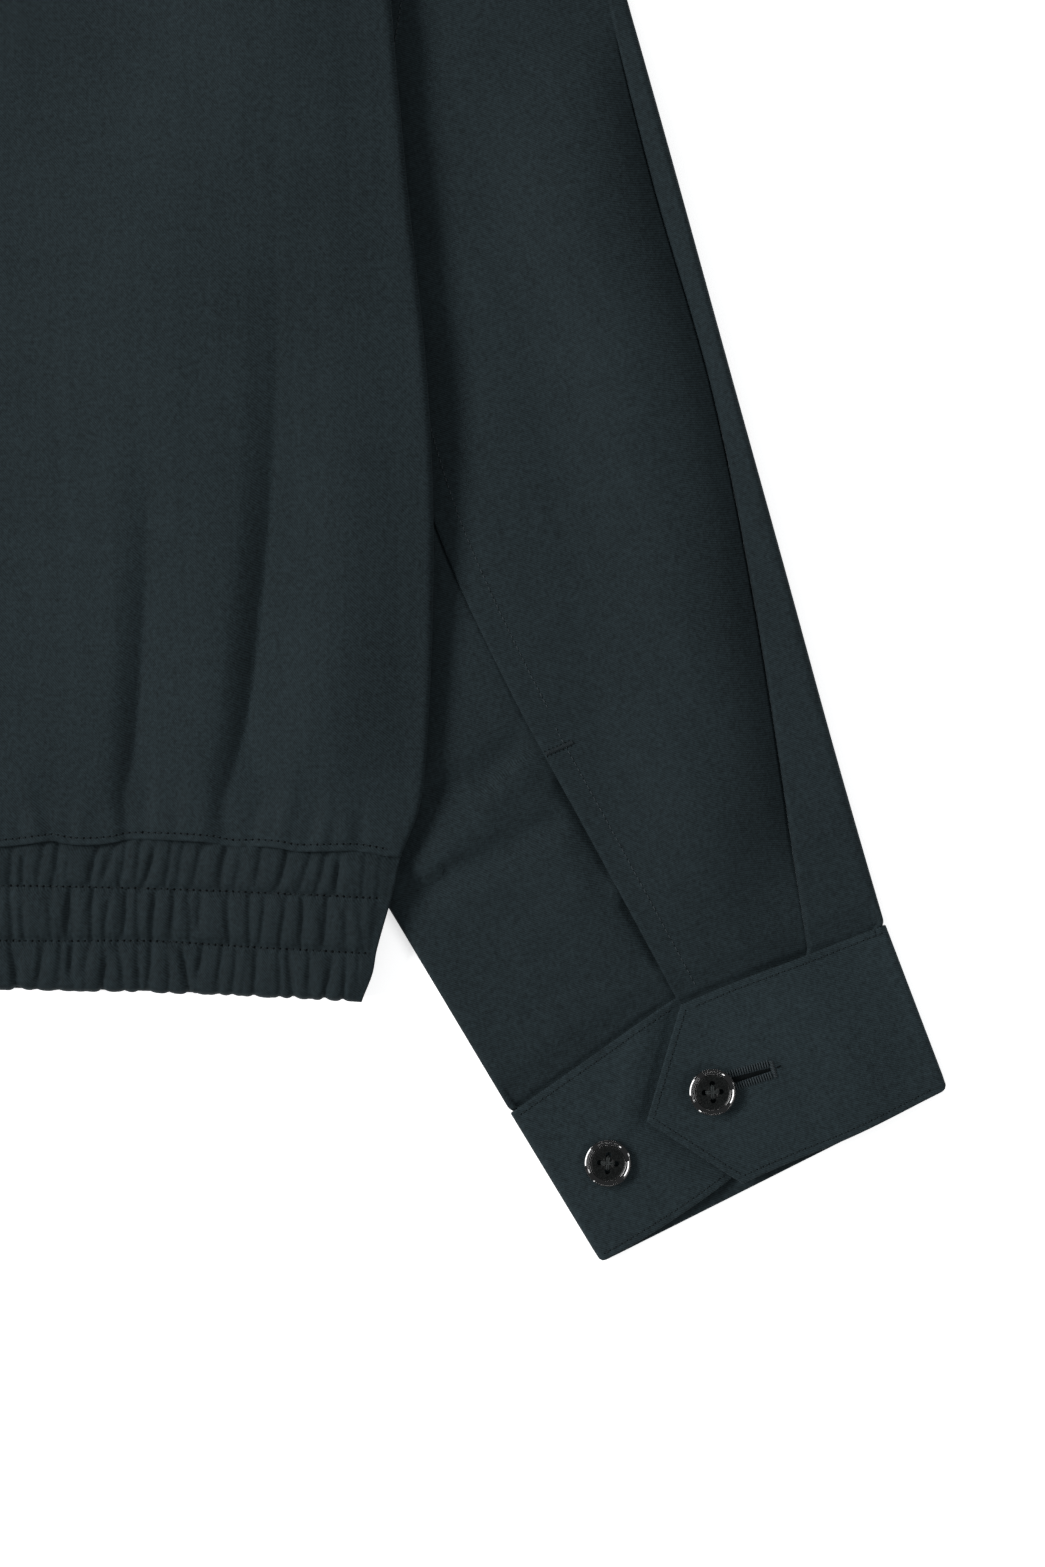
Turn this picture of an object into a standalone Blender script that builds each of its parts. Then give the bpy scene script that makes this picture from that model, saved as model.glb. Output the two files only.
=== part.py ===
"""A harrington jacket laid flat on its front, back side up, with the sleeves tucked under its sides.

Metres, +Z up. +X is the wearer's right, +Y runs from the hem to the collar. Each cut piece is one object.
The tables are written from the hem's lower edge at the centre back, and ORIGIN_Y moves them to the middle.
"""

import math
from collections import namedtuple

import bmesh
import bpy

# Cloth and sewing
CLOTH = 0.0012
BAND_CLOTH = 0.0016
COLLAR_CLOTH = 0.0020
SEAM_GAP = 0.0003
SIDE_SEAM_GAP = 0.0016
CUFF_SEAM_GAP = 0.0006
ORIGIN_Y = 0.3008

# Body
HEM_LIFT = 0.0010
HEM_DROP = 0.0045
BAND_DEPTH = 0.0437
SEAM_SIDE_Y = 0.0408
SHOULDER_TIP = (0.2706, 0.5820)
NECK_HALF = 0.0877
NECK_SIDE_Y = 0.6420
BACK_NECK_DROP = 0.0200
FRONT_NECK_DROP = 0.0850
ARMPIT_Y = 0.3520
SIDE_ROUND = 0.0035
SIDE_SEAM_TURN = math.radians(112)
BODY_GAP = 0.0018
HEM_PUFF = 0.0016
BACK_PUFF = 0.0012
SIDE_PUFF = 0.0020
NECK_LIFT = 0.0011

# Lift of the body over the tucked sleeves and over the zip
SLEEVE_LIFT = 0.0060
LIFT_RUN = 0.044
LIFT_RUN_BACK = 0.085
LIFT_LEAD = 0.006
LIFT_TOP = 0.375
LIFT_FADE = 0.060

# Zip, closed, under the centre front
ZIP_TOP_Y = 0.5540
ZIP_HALF_CHAIN = 0.0020
CHAIN_HALF_DEPTH = 0.0009
TAPE_HALF_DEPTH = 0.0004
ZIP_TAPE = (0.0023, 0.0067)
ZIP_EDGE = 0.0070
ZIP_LIFT = 0.0017
SLIDER_LIFT = 0.0024
SLIDER_Y = 0.5400
SLIDER_WIDTH = 0.0090
SLIDER_LENGTH = 0.0140
SLIDER_SLOT = 0.0024
SLIDER_PLATE = 0.0008
SLIDER_POST = 0.0030
PULL_WIDTH = 0.0044
PULL_LENGTH = 0.0240
PULL_THICK = 0.0012
PULL_RADIUS = 0.0010
PULL_BORE = 0.00065
PULL_PIN = 0.00035
PULL_AXIS = (-0.0058, 0.00125)
EAR_WIDTH = 0.0008
EAR_GAP = 0.0003

# Sleeves
FOLD_RADIUS = 0.0012
SLEEVE_PUFF = 0.0010
SEAM_STEP = 0.0008
OPENING_STEP = 0.0018
OPENING_START = 0.82
OPENING_LAP = 0.012
FRONT_SEAM_AT = 0.30
PLEAT_STEP = 0.0011
TUCK = 0.008
TIP_GAP = 0.0014
CAP_SEAM_GAP = 0.0032

# Cuffs, measured along the cuff (e) and down it (n) from the inner end of the cuff seam
CUFF_CORNER = (0.3100, -0.03875)
CUFF_ANGLE = math.radians(26.69)
CUFF_TOP_WIDTH = 0.1301
CUFF_DEPTH = 0.0548
CUFF_TAPER = (0.0043, 0.0056)
CUFF_LAYER = 0.0022
CUFF_OVERLAP_STEP = 0.0023
UNDERLAP_END = 0.080
TIP_APEX_AT = 0.48
BUTTON_RADIUS = 0.0076
BUTTON_THICK = 0.0028
BUTTON_HOLE = 0.00085
BUTTON_HOLE_AT = 0.0021

# Collar, a stand folded flat
COLLAR_HEIGHT = 0.045
COLLAR_TAPER = 0.006
COLLAR_LAYER = 0.0026
COLLAR_FRONT_GAP = 0.0010
COLLAR_GAP = 0.0006
COLLAR_INSET = 0.0012

SideRow = namedtuple("SideRow", "y half_width")
SIDE = (
    SideRow(-0.0060, 0.2622),
    SideRow(-0.0034, 0.2631),
    SideRow(0.0045, 0.2662),
    SideRow(0.0115, 0.2675),
    SideRow(0.0288, 0.2724),
    SideRow(0.0420, 0.2755),
    SideRow(0.0541, 0.2803),
    SideRow(0.0682, 0.2825),
    SideRow(0.1103, 0.2847),
    SideRow(0.1525, 0.2850),
    SideRow(0.1947, 0.2828),
    SideRow(0.2509, 0.2769),
    SideRow(0.3072, 0.2719),
    SideRow(0.3520, 0.2690),
)

# How far the armhole is scooped in, by the share of the way from the armpit to the shoulder tip
ArmholeRow = namedtuple("ArmholeRow", "share scoop")
ARMHOLE = (
    ArmholeRow(0.00, 0.0000),
    ArmholeRow(0.06, 0.0060),
    ArmholeRow(0.14, 0.0110),
    ArmholeRow(0.26, 0.0165),
    ArmholeRow(0.40, 0.0200),
    ArmholeRow(0.56, 0.0205),
    ArmholeRow(0.72, 0.0170),
    ArmholeRow(0.87, 0.0098),
    ArmholeRow(1.00, 0.0000),
)

SleeveRow = namedtuple("SleeveRow", "s inner_x inner_y outer_x outer_y seam pleat")
SLEEVE = (
    SleeveRow(0.00, 0.2690, 0.3520, 0.2706, 0.5820, 0.36, 0.972),
    SleeveRow(0.10, 0.2675, 0.3380, 0.3010, 0.4700, 0.25, 0.972),
    SleeveRow(0.20, 0.2620, 0.3180, 0.3276, 0.3750, 0.16, 0.972),
    SleeveRow(0.29, 0.2460, 0.2900, 0.3400, 0.3300, 0.22, 0.972),
    SleeveRow(0.37, 0.2280, 0.2550, 0.3460, 0.3080, 0.29, 0.972),
    SleeveRow(0.46, 0.2130, 0.2150, 0.3510, 0.2900, 0.35, 0.972),
    SleeveRow(0.57, 0.2120, 0.1650, 0.3621, 0.2500, 0.39, 0.970),
    SleeveRow(0.68, 0.2240, 0.1150, 0.3786, 0.1900, 0.40, 0.955),
    SleeveRow(0.79, 0.2470, 0.0670, 0.3952, 0.1300, 0.42, 0.915),
    SleeveRow(0.90, 0.2770, 0.0165, 0.4111, 0.0720, 0.45, 0.860),
    SleeveRow(1.00, 0.3100, -0.03875, 0.42625, 0.01969, 0.478, 0.805),
)

# Soft folds that rise from the gathered seam of the back: x at the seam, lean, height, half width, depth
Fold = namedtuple("Fold", "x lean height width depth")
FOLDS = (
    Fold(-0.262, -0.06, 0.045, 0.009, 0.0009),
    Fold(-0.226, -0.10, 0.105, 0.012, 0.0015),
    Fold(-0.196, 0.02, 0.060, 0.010, 0.0010),
    Fold(-0.158, -0.05, 0.120, 0.013, 0.0015),
    Fold(-0.118, 0.03, 0.070, 0.011, 0.0011),
    Fold(-0.074, -0.04, 0.110, 0.013, 0.0014),
    Fold(-0.030, 0.02, 0.060, 0.011, 0.0010),
    Fold(0.014, 0.05, 0.100, 0.013, 0.0014),
    Fold(0.058, -0.02, 0.065, 0.011, 0.0011),
    Fold(0.104, 0.04, 0.115, 0.013, 0.0014),
    Fold(0.146, 0.00, 0.050, 0.010, 0.0009),
    Fold(0.187, 0.06, 0.095, 0.011, 0.0014),
    Fold(0.215, 0.13, 0.140, 0.011, 0.0017),
    Fold(0.241, 0.30, 0.045, 0.009, 0.0010),
    Fold(0.263, 0.04, 0.035, 0.008, 0.0007),
)

# How far the near layers of the cuff are drawn up, at its top and bottom edges
CuffRow = namedtuple("CuffRow", "e top bottom")
OVERLAP_RISES = (
    CuffRow(0.0000, 0.0068, 0.0030),
    CuffRow(0.0545, 0.0068, 0.0027),
    CuffRow(0.0740, 0.0058, 0.0018),
    CuffRow(0.0880, 0.0045, 0.0006),
    CuffRow(0.1050, 0.0025, 0.0001),
    CuffRow(0.1301, 0.0000, 0.0000),
)
UNDERLAP_RISES = (
    CuffRow(0.0000, 0.0000, 0.0000),
    CuffRow(0.0160, 0.0024, 0.0008),
    CuffRow(0.0310, 0.0046, 0.0022),
    CuffRow(0.0495, 0.0074, 0.0050),
    CuffRow(0.0620, 0.0088, 0.0070),
    CuffRow(0.0880, 0.0092, 0.0075),
)
TIP_ENDS = ((0.0, 0.0623), (TIP_APEX_AT, 0.0365), (1.0, 0.0545))

ButtonRow = namedtuple("ButtonRow", "name e n z")
BUTTONS = (
    ButtonRow("closed", 0.0588, 0.0224, 0.00640),
    ButtonRow("spare", 0.0196, 0.0278, 0.00410),
)

GATHERS = 66
GATHER_HEIGHT = 0.0017
# Share of the gather height down the band, which is pinched at the seam and at both rows of stitches
GATHER_ROWS = ((0.0, 0.20), (0.16, 0.9), (0.31, 0.10), (0.48, 1.0), (0.66, 0.10), (0.84, 1.0), (1.0, 0.45))

CLOTH_COLOUR = (0.017, 0.024, 0.027)
BUTTON_COLOUR = (0.006, 0.006, 0.007)
METAL_COLOUR = (0.020, 0.021, 0.022)


def eased(t):
    t = min(max(t, 0.0), 1.0)
    return t * t * (3.0 - 2.0 * t)


def along(rows, at, column):
    """One column of a table, on the smooth curve through its rows, where the first column is `at`."""
    keys = [row[0] for row in rows]
    values = [getattr(row, column) for row in rows]
    if at <= keys[0]:
        return values[0]
    if at >= keys[-1]:
        return values[-1]
    last = len(keys) - 1
    i = max(k for k in range(last) if keys[k] <= at)

    def slope(k):
        low, high = max(k - 1, 0), min(k + 1, last)
        return (values[high] - values[low]) / (keys[high] - keys[low])

    span = keys[i + 1] - keys[i]
    t = (at - keys[i]) / span
    return (
        (2 * t**3 - 3 * t**2 + 1) * values[i]
        + (t**3 - 2 * t**2 + t) * span * slope(i)
        + (3 * t**2 - 2 * t**3) * values[i + 1]
        + (t**3 - t**2) * span * slope(i + 1)
    )


def straight(rows, at):
    """A value on the straight lines between (key, value) rows."""
    for (key, value), (next_key, next_value) in zip(rows, rows[1:]):
        if at <= next_key:
            return value + (next_value - value) * (at - key) / (next_key - key)
    return rows[-1][1]


# ---- outline of the body ----


def side_x(y):
    """Half the body's width: its side edge below the armpit, its armhole above."""
    if y <= ARMPIT_Y:
        return along(SIDE, y, "half_width")
    share = min((y - ARMPIT_Y) / (SHOULDER_TIP[1] - ARMPIT_Y), 1.0)
    line = SIDE[-1].half_width + (SHOULDER_TIP[0] - SIDE[-1].half_width) * share
    return line - straight(ARMHOLE, share)


def hem_y(x):
    """The hem's lower edge, which hangs a little at the sides."""
    return HEM_LIFT - HEM_DROP * (abs(x) / SIDE[0].half_width) ** 3


def seam_y(x):
    """The seam between the body and the gathered band."""
    return hem_y(x) * 0.75 + BAND_DEPTH


def back_seam_y(x):
    ripple = 0.0008 * math.sin(x * 62.0 + 0.6) + 0.0002 * math.sin(x * 151.0)
    return seam_y(x) + ripple * eased((0.262 - abs(x)) / 0.020)


def top_y(x, neck_drop):
    """The shoulder seam and the neckline."""
    x = abs(x)
    if x >= NECK_HALF:
        share = (x - NECK_HALF) / (SHOULDER_TIP[0] - NECK_HALF)
        return NECK_SIDE_Y + (SHOULDER_TIP[1] - NECK_SIDE_Y) * share
    return NECK_SIDE_Y - neck_drop * (1.0 - (x / NECK_HALF) ** 2)


def inner_edge_x(y):
    """The tucked sleeve's inner edge under the body."""
    rows = [(row.inner_y, row.inner_x) for row in reversed(SLEEVE)]
    return straight(rows, max(y, rows[0][0]))


# ---- heights of the layers ----


def sleeve_lift(x, y, run):
    reach = eased((abs(x) - inner_edge_x(y) + run) / (run - LIFT_LEAD))
    return SLEEVE_LIFT * reach * (1.0 - eased((y - LIFT_TOP) / LIFT_FADE))


def zip_lift(y):
    return ZIP_LIFT + SLIDER_LIFT * (1.0 - eased((abs(y - SLIDER_Y) - 0.012) / 0.040))


def front_z(x, y):
    near_zip = 1.0 - eased((abs(x) - ZIP_EDGE) / 0.040)
    return CLOTH / 2 + max(sleeve_lift(x, y, LIFT_RUN), zip_lift(y) * near_zip)


def fold_depth(x, y):
    depth = 0.0
    above = y - back_seam_y(x)
    for fold in FOLDS:
        if above < fold.height:
            middle = fold.x + fold.lean * above
            fade = (1.0 - max(above, 0.0) / fold.height) ** 1.3
            depth += fold.depth * fade * math.exp(-(((x - middle) / fold.width) ** 2))
    return depth


def back_z(x, y):
    over_zip = zip_lift(y) * math.exp(-((x / 0.060) ** 2))
    lift = max(sleeve_lift(x, y, LIFT_RUN_BACK), over_zip)
    above_hem = eased((y - back_seam_y(x)) / 0.055)
    below_top = eased((top_y(x, BACK_NECK_DROP) - y) / 0.070)
    at_side = eased((abs(x) - 0.10) / 0.16) * (1.0 - eased((y - ARMPIT_Y) / 0.07))
    at_neck = eased((0.14 - abs(x)) / 0.05) * eased((y - 0.50) / 0.05)
    puff = HEM_PUFF + above_hem * (BACK_PUFF + SIDE_PUFF * at_side)
    raised = BODY_GAP + NECK_LIFT * at_neck + below_top * (puff - fold_depth(x, y))
    return CLOTH / 2 + lift + raised


# ---- mesh helpers ----


def material(name, colour, roughness, metallic=0.0):
    made = bpy.data.materials.new(name)
    made.use_nodes = True
    shader = made.node_tree.nodes["Principled BSDF"]
    shader.inputs["Base Color"].default_value = (*colour, 1.0)
    shader.inputs["Roughness"].default_value = roughness
    shader.inputs["Metallic"].default_value = metallic
    return made


def placed(name, mesh, look, collection, place=(0.0, 0.0, 0.0)):
    made = bpy.data.objects.new(name, mesh)
    made.location = (place[0], place[1] - ORIGIN_Y, place[2])
    if look:
        mesh.materials.append(look)
    collection.objects.link(made)
    return made


def finished(bm, name, smooth=True):
    mesh = bpy.data.meshes.new(name)
    bm.to_mesh(mesh)
    bm.free()
    if smooth:
        mesh.shade_smooth()
    return mesh


def grid_faces(bm, points):
    """Quads through rows of points, and their vertices in the same rows."""
    rows = [[bm.verts.new(point) for point in row] for row in points]
    for low, high in zip(rows, rows[1:]):
        for j in range(len(low) - 1):
            bm.faces.new((low[j], low[j + 1], high[j + 1], high[j]))
    return rows


def cloth_panel(name, points, thickness, look, collection, even=True):
    """An open surface through rows of points, made a wall."""
    bm = bmesh.new()
    grid_faces(bm, points)
    panel = placed(name, finished(bm, name), look, collection)
    wall = panel.modifiers.new("wall", "SOLIDIFY")
    wall.thickness = thickness
    wall.offset = 0.0
    wall.use_even_offset = even
    return panel


def mirrored(points):
    """The other side's points."""
    return [[(-x, y, z) for x, y, z in reversed(row)] for row in points]


def block(name, low, high, look, collection, place=(0.0, 0.0, 0.0)):
    """A plain box between two corners."""
    bm = bmesh.new()
    bmesh.ops.create_cube(bm, size=1.0)
    for vert in bm.verts:
        for k in range(3):
            vert.co[k] = low[k] if vert.co[k] < 0 else high[k]
    return placed(name, finished(bm, name, smooth=False), look, collection, place)


def rod(name, radius, length, sides, look, collection, place, lies=False):
    """A round bar, upright, or lying along X."""
    bm = bmesh.new()
    bmesh.ops.create_cone(
        bm, cap_ends=True, segments=sides, radius1=radius, radius2=radius, depth=length
    )
    if lies:
        for vert in bm.verts:
            vert.co = (vert.co.z, vert.co.y, -vert.co.x)
    return placed(name, finished(bm, name, smooth=False), look, collection, place)


def boolean(owner, other, operation):
    other.hide_render = True
    other.display_type = "WIRE"
    cut = owner.modifiers.new(other.name, "BOOLEAN")
    cut.object = other
    cut.operation = operation
    cut.solver = "EXACT"


# ---- body panels ----

ARMHOLE_HEIGHTS = [ARMPIT_Y + row.share * (SHOULDER_TIP[1] - ARMPIT_Y) for row in ARMHOLE]
BACK_HEIGHTS = (0.0, 0.008, 0.019, 0.035, 0.056, 0.084, 0.122, 0.170, 0.224, 0.268, 0.292)
FRONT_HEIGHTS = (0.0, 0.022, 0.060, 0.115, 0.175, 0.230, 0.270, 0.292)
BACK_HALF_COLUMNS = 20
BACK_TURNS = 3
FRONT_COLUMNS = (0, 0.036, 0.102, 0.174, 0.246, 0.3105, 0.42, 0.52, 0.60, 0.67, 0.74, 0.81, 0.87, 0.94, 1)


def body_rows(heights):
    """For each row, its share of the way up and its height at the side."""
    edges = [SEAM_SIDE_Y + height for height in heights] + ARMHOLE_HEIGHTS
    return [((edge - SEAM_SIDE_Y) / (SHOULDER_TIP[1] - SEAM_SIDE_Y), edge) for edge in edges]


def body_y(x, v, seam, neck_drop):
    level = SEAM_SIDE_Y + (seam(x) - SEAM_SIDE_Y) * (1.0 - eased(v / 0.45))
    return level * (1.0 - v) + top_y(x, neck_drop) * v


def side_turn(edge, y, turn, on_back):
    """A point on the rounded side, where the turn is 0 on the back and half a circle on the front."""
    folded = 1.0 - eased((y - ARMPIT_Y + 0.012) / 0.010)
    centre = edge - SIDE_ROUND
    high, low = back_z(centre, y), front_z(centre, y)
    round_x = centre + SIDE_ROUND * math.sin(turn)
    round_z = (high + low) / 2 + (high - low) / 2 * math.cos(turn)
    if on_back:
        share = turn / (SIDE_SEAM_TURN - SIDE_SEAM_GAP / 2 / SIDE_ROUND)
        flat_z = back_z(centre + SIDE_ROUND * share, y)
    else:
        share = (math.pi - turn) / (math.pi - SIDE_SEAM_TURN - SIDE_SEAM_GAP / 2 / SIDE_ROUND)
        flat_z = low
    flat_x = centre + SIDE_ROUND * share
    return flat_x + (round_x - flat_x) * folded, flat_z + (round_z - flat_z) * folded


def back_points():
    end = SIDE_SEAM_TURN - SIDE_SEAM_GAP / 2 / SIDE_ROUND
    turns = [end * (k + 1) / BACK_TURNS for k in range(BACK_TURNS)]
    flat = [(j / BACK_HALF_COLUMNS, 0.0) for j in range(-BACK_HALF_COLUMNS, BACK_HALF_COLUMNS + 1)]
    columns = [(-1.0, turn) for turn in reversed(turns)] + flat + [(1.0, turn) for turn in turns]
    rows = []
    for v, level in body_rows(BACK_HEIGHTS):
        edge = side_x(level) - SEAM_GAP / 2
        row = []
        for c, turn in columns:
            x = c * (edge - SIDE_ROUND)
            y = body_y(x, v, back_seam_y, BACK_NECK_DROP)
            z = back_z(x, y)
            if turn:
                y = level + (y - level) * (1.0 - eased(v / 0.45))
                side, z = side_turn(edge, y, turn, True)
                x = math.copysign(side, c)
            row.append((x, y, z))
        rows.append(row)
    return rows


def front_points():
    """The right front, from the side seam to the zip."""
    end = SIDE_SEAM_TURN + SIDE_SEAM_GAP / 2 / SIDE_ROUND
    turns = [math.pi + (end - math.pi) * share for share in (0.5, 1.0)]
    rows = []
    for v, level in body_rows(FRONT_HEIGHTS):
        edge = side_x(level) - SEAM_GAP / 2
        row = []
        for share, turn in [(share, 0.0) for share in FRONT_COLUMNS] + [(1.0, turn) for turn in turns]:
            x = ZIP_EDGE + (edge - SIDE_ROUND - ZIP_EDGE) * share
            y = body_y(x, v, seam_y, FRONT_NECK_DROP)
            z = front_z(x, y)
            if turn:
                y = level + (y - level) * (1.0 - eased(v / 0.45))
                x, z = side_turn(edge, y, turn, False)
            row.append((x, y, z))
        rows.append(list(reversed(row)))
    return rows


# ---- hem band ----


def band_back_z(x, y):
    over_zip = 0.0019 * math.exp(-((x / 0.045) ** 2))
    lift = max(sleeve_lift(x, y, LIFT_RUN_BACK), over_zip)
    return BAND_CLOTH + 0.0004 + BAND_CLOTH / 2 + lift


def band_front_z(x, y):
    near_zip = 1.0 - eased((abs(x) - ZIP_EDGE) / 0.040)
    return BAND_CLOTH / 2 + max(sleeve_lift(x, y, LIFT_RUN), (ZIP_LIFT - 0.0002) * near_zip)


def band_y(x, r, seam):
    top = seam(x) - SEAM_GAP - 0.0001
    return top + (hem_y(x) - top) * r


def band_edge(r, inset):
    return side_x(band_y(SIDE[5].half_width, r, seam_y)) - inset


def hem_band_back(look, collection):
    """The back of the band: three gathered channels, raised on its outer points over a plain inside."""
    count = GATHERS * 3
    outer, inner = [], []
    for r, share in GATHER_ROWS:
        edge = band_edge(r, 0.0)
        outer_row, inner_row = [], []
        for j in range(count + 1):
            c = 2.0 * j / count - 1.0
            x = c * edge
            y = band_y(x, r, back_seam_y)
            base = band_back_z(x, y)
            at_edge = eased((edge - abs(x)) / 0.006)
            crest = j % 3 == 1
            uneven = 0.72 + 0.28 * math.sin(c * 97.0 + 5.0 * r)
            top = base + BAND_CLOTH * (0.15 + 0.35 * at_edge)
            if crest:
                top += GATHER_HEIGHT * share * uneven * at_edge
            sway = 0.0016 * math.sin(c * 31.0 + 3.0 * r) * math.sin(math.pi * r) * at_edge
            drop = 0.0006 * (1.0 if crest else -0.3) * at_edge if r == 1.0 else 0.0
            outer_row.append((x + sway, y - drop, top))
            inner_row.append((x, y, base - BAND_CLOTH / 2))
        outer.append(outer_row)
        inner.append(inner_row)
    rows = (0, 3, 6)
    columns = list(range(0, count + 1, 6))
    bm = bmesh.new()
    top = grid_faces(bm, outer)
    bottom = grid_faces(bm, [[inner[i][j] for j in reversed(columns)] for i in rows])
    bottom = [list(reversed(row)) for row in bottom]
    for k, (a, b) in enumerate(zip(columns, columns[1:])):
        bm.faces.new(list(reversed(top[0][a : b + 1])) + [bottom[0][k], bottom[0][k + 1]])
        bm.faces.new(top[-1][a : b + 1] + [bottom[-1][k + 1], bottom[-1][k]])
    for k, (a, b) in enumerate(zip(rows, rows[1:])):
        bm.faces.new([top[i][0] for i in range(a, b + 1)] + [bottom[k + 1][0], bottom[k][0]])
        bm.faces.new([top[i][-1] for i in range(b, a - 1, -1)] + [bottom[k][-1], bottom[k + 1][-1]])
    bmesh.ops.recalc_face_normals(bm, faces=bm.faces)
    return placed("hem_band_back", finished(bm, "hem_band_back"), look, collection)


def band_front_points():
    rows = []
    for r in (0.0, 0.33, 0.67, 1.0):
        edge = band_edge(r, 0.0004)
        row = []
        for share in FRONT_COLUMNS[::2]:
            x = ZIP_EDGE + (edge - ZIP_EDGE) * share
            y = band_y(x, r, seam_y)
            row.append((x, y, band_front_z(x, y)))
        rows.append(row)
    return rows


# ---- sleeves ----


def cuff_point(e, n):
    """A place on the cuff, from along and down it to the jacket's own x and y."""
    cos, sin = math.cos(CUFF_ANGLE), math.sin(CUFF_ANGLE)
    return CUFF_CORNER[0] + e * cos + n * sin, CUFF_CORNER[1] + e * sin - n * cos


def sleeve_point(s, q, rises, step=0.0):
    """A point on the flattened sleeve, right side.

    q runs round it: 0 to 1 over the upper layer from its inner to its outer edge, 1 to 2 round the outer
    fold, 2 to 3 back along the lower layer. 0 to -1 goes round the inner fold and -1 to -2 below.
    """
    inner = (along(SLEEVE, s, "inner_x"), along(SLEEVE, s, "inner_y"))
    outer = (along(SLEEVE, s, "outer_x"), along(SLEEVE, s, "outer_y"))
    fold = FOLD_RADIUS / math.dist(inner, outer)
    low, high = CLOTH / 2, CLOTH / 2 + 2 * FOLD_RADIUS
    cap = 1.0 - eased(s / 0.2)
    shoulder_z = CLOTH / 2 + BODY_GAP
    upper = 0.0
    if 0.0 <= q <= 1.0:
        w = fold + q * (1.0 - 2.0 * fold)
        flat = 1.0 - 0.6 * eased((s - 0.8) / 0.2)
        own = high + SLEEVE_PUFF * math.sin(math.pi * q) ** 0.7 * flat
        y = inner[1] + (outer[1] - inner[1]) * w
        meets = back_z(side_x(y), y) - own
        z = own + step + meets * cap * eased((w - 0.18) / 0.24)
        upper = 1.0
    elif 1.0 < q < 2.0:
        turn = (q - 1.0) * math.pi
        top = high + (shoulder_z - high) * cap
        w = 1.0 - fold + fold * math.sin(turn)
        z = (low + top) / 2 + (top - low) / 2 * math.cos(turn)
    elif -1.0 < q < 0.0:
        turn = -q * math.pi
        w = fold - fold * math.sin(turn)
        z = (low + high) / 2 + FOLD_RADIUS * math.cos(turn)
    else:
        w = fold + (3.0 - q if q >= 2.0 else -1.0 - q) * (1.0 - 2.0 * fold)
        z = low
    pulled = upper * along(rises, w * CUFF_TOP_WIDTH, "top") * eased((s - 0.70) / 0.30)
    x = inner[0] + (outer[0] - inner[0]) * w - math.sin(CUFF_ANGLE) * pulled
    y = inner[1] + (outer[1] - inner[1]) * w + math.cos(CUFF_ANGLE) * pulled
    x += (1.0 - eased(s / 0.12)) * (SEAM_GAP / 2 - straight(ARMHOLE, min(max(w, 0.0), 1.0)))
    x -= (1.0 - eased(s / 0.06)) * (1.0 - eased(w / 0.14)) * TUCK
    x += (1.0 - eased(s / 0.06)) * eased((w - 0.85) / 0.15) * TIP_GAP
    return x, y, z


SLEEVE_STATIONS = (0.0, 0.05, 0.10, 0.15, 0.20, 0.29, 0.37, 0.46, 0.57, 0.68, 0.78, 0.82, 0.86, 0.93, 0.9998)


def lap_share(s):
    return eased((s - OPENING_START) / 0.05)


def step_share(s):
    return eased((s - OPENING_START + 0.12) / 0.10)


def sleeve_width(s):
    across = along(SLEEVE, s, "outer_x") - along(SLEEVE, s, "inner_x")
    up = along(SLEEVE, s, "outer_y") - along(SLEEVE, s, "inner_y")
    return math.hypot(across, up)


def sleeve_under_points():
    """The under sleeve: from the back seam round the inner fold to the front seam on the floor side."""
    rows = []
    for s in SLEEVE_STATIONS:
        gap = SEAM_GAP + CAP_SEAM_GAP * (1.0 - eased(s / 0.42))
        end = along(SLEEVE, s, "seam") + (OPENING_LAP * lap_share(s) - gap) / sleeve_width(s)
        around = [end * (1.0 - k / 5) for k in range(6)] + [-0.33, -0.67]
        front_seam = FRONT_SEAM_AT - (gap - SEAM_GAP) / sleeve_width(s)
        around += [-1.0 - front_seam * k / 3 for k in range(4)]
        rows.append([sleeve_point(s, q, UNDERLAP_RISES) for q in around])
    return rows


def sleeve_top_points():
    """The top sleeve: from the back seam, over the pleat and the outer fold, to the front seam."""
    rows = []
    for s in SLEEVE_STATIONS:
        start, pleat = along(SLEEVE, s, "seam"), along(SLEEVE, s, "pleat")
        step = SEAM_STEP * eased(s / 0.15) + (OPENING_STEP - SEAM_STEP) * step_share(s)
        pleated = PLEAT_STEP * eased((s - 0.50) / 0.30)
        row = []
        for share in (0.0, 0.10, 0.24, 0.45, 0.70, 0.90, 0.985):
            q = start + (pleat - start) * share
            lift = step * (1.0 - eased((q - start - 0.16) / 0.18))
            row.append(sleeve_point(s, q, OVERLAP_RISES, lift - 0.35 * pleated * eased((share - 0.6) / 0.38)))
        for share, level in ((0.0, 1.0), (0.4, 0.75), (0.75, 0.35), (1.0, 0.0)):
            q = pleat + (1.0 - pleat) * share
            row.append(sleeve_point(s, q, OVERLAP_RISES, pleated * level))
        end = 3.0 - FRONT_SEAM_AT - SEAM_GAP / 0.12
        around = [1.33, 1.67] + [2.0 + (end - 2.0) * k / 5 for k in range(6)]
        rows.append(row + [sleeve_point(s, q, OVERLAP_RISES) for q in around])
    return rows


# ---- cuffs ----

CUFF_ROWS = (0.0, 0.16, 0.32, TIP_APEX_AT, 0.66, 0.83, 1.0)


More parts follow.
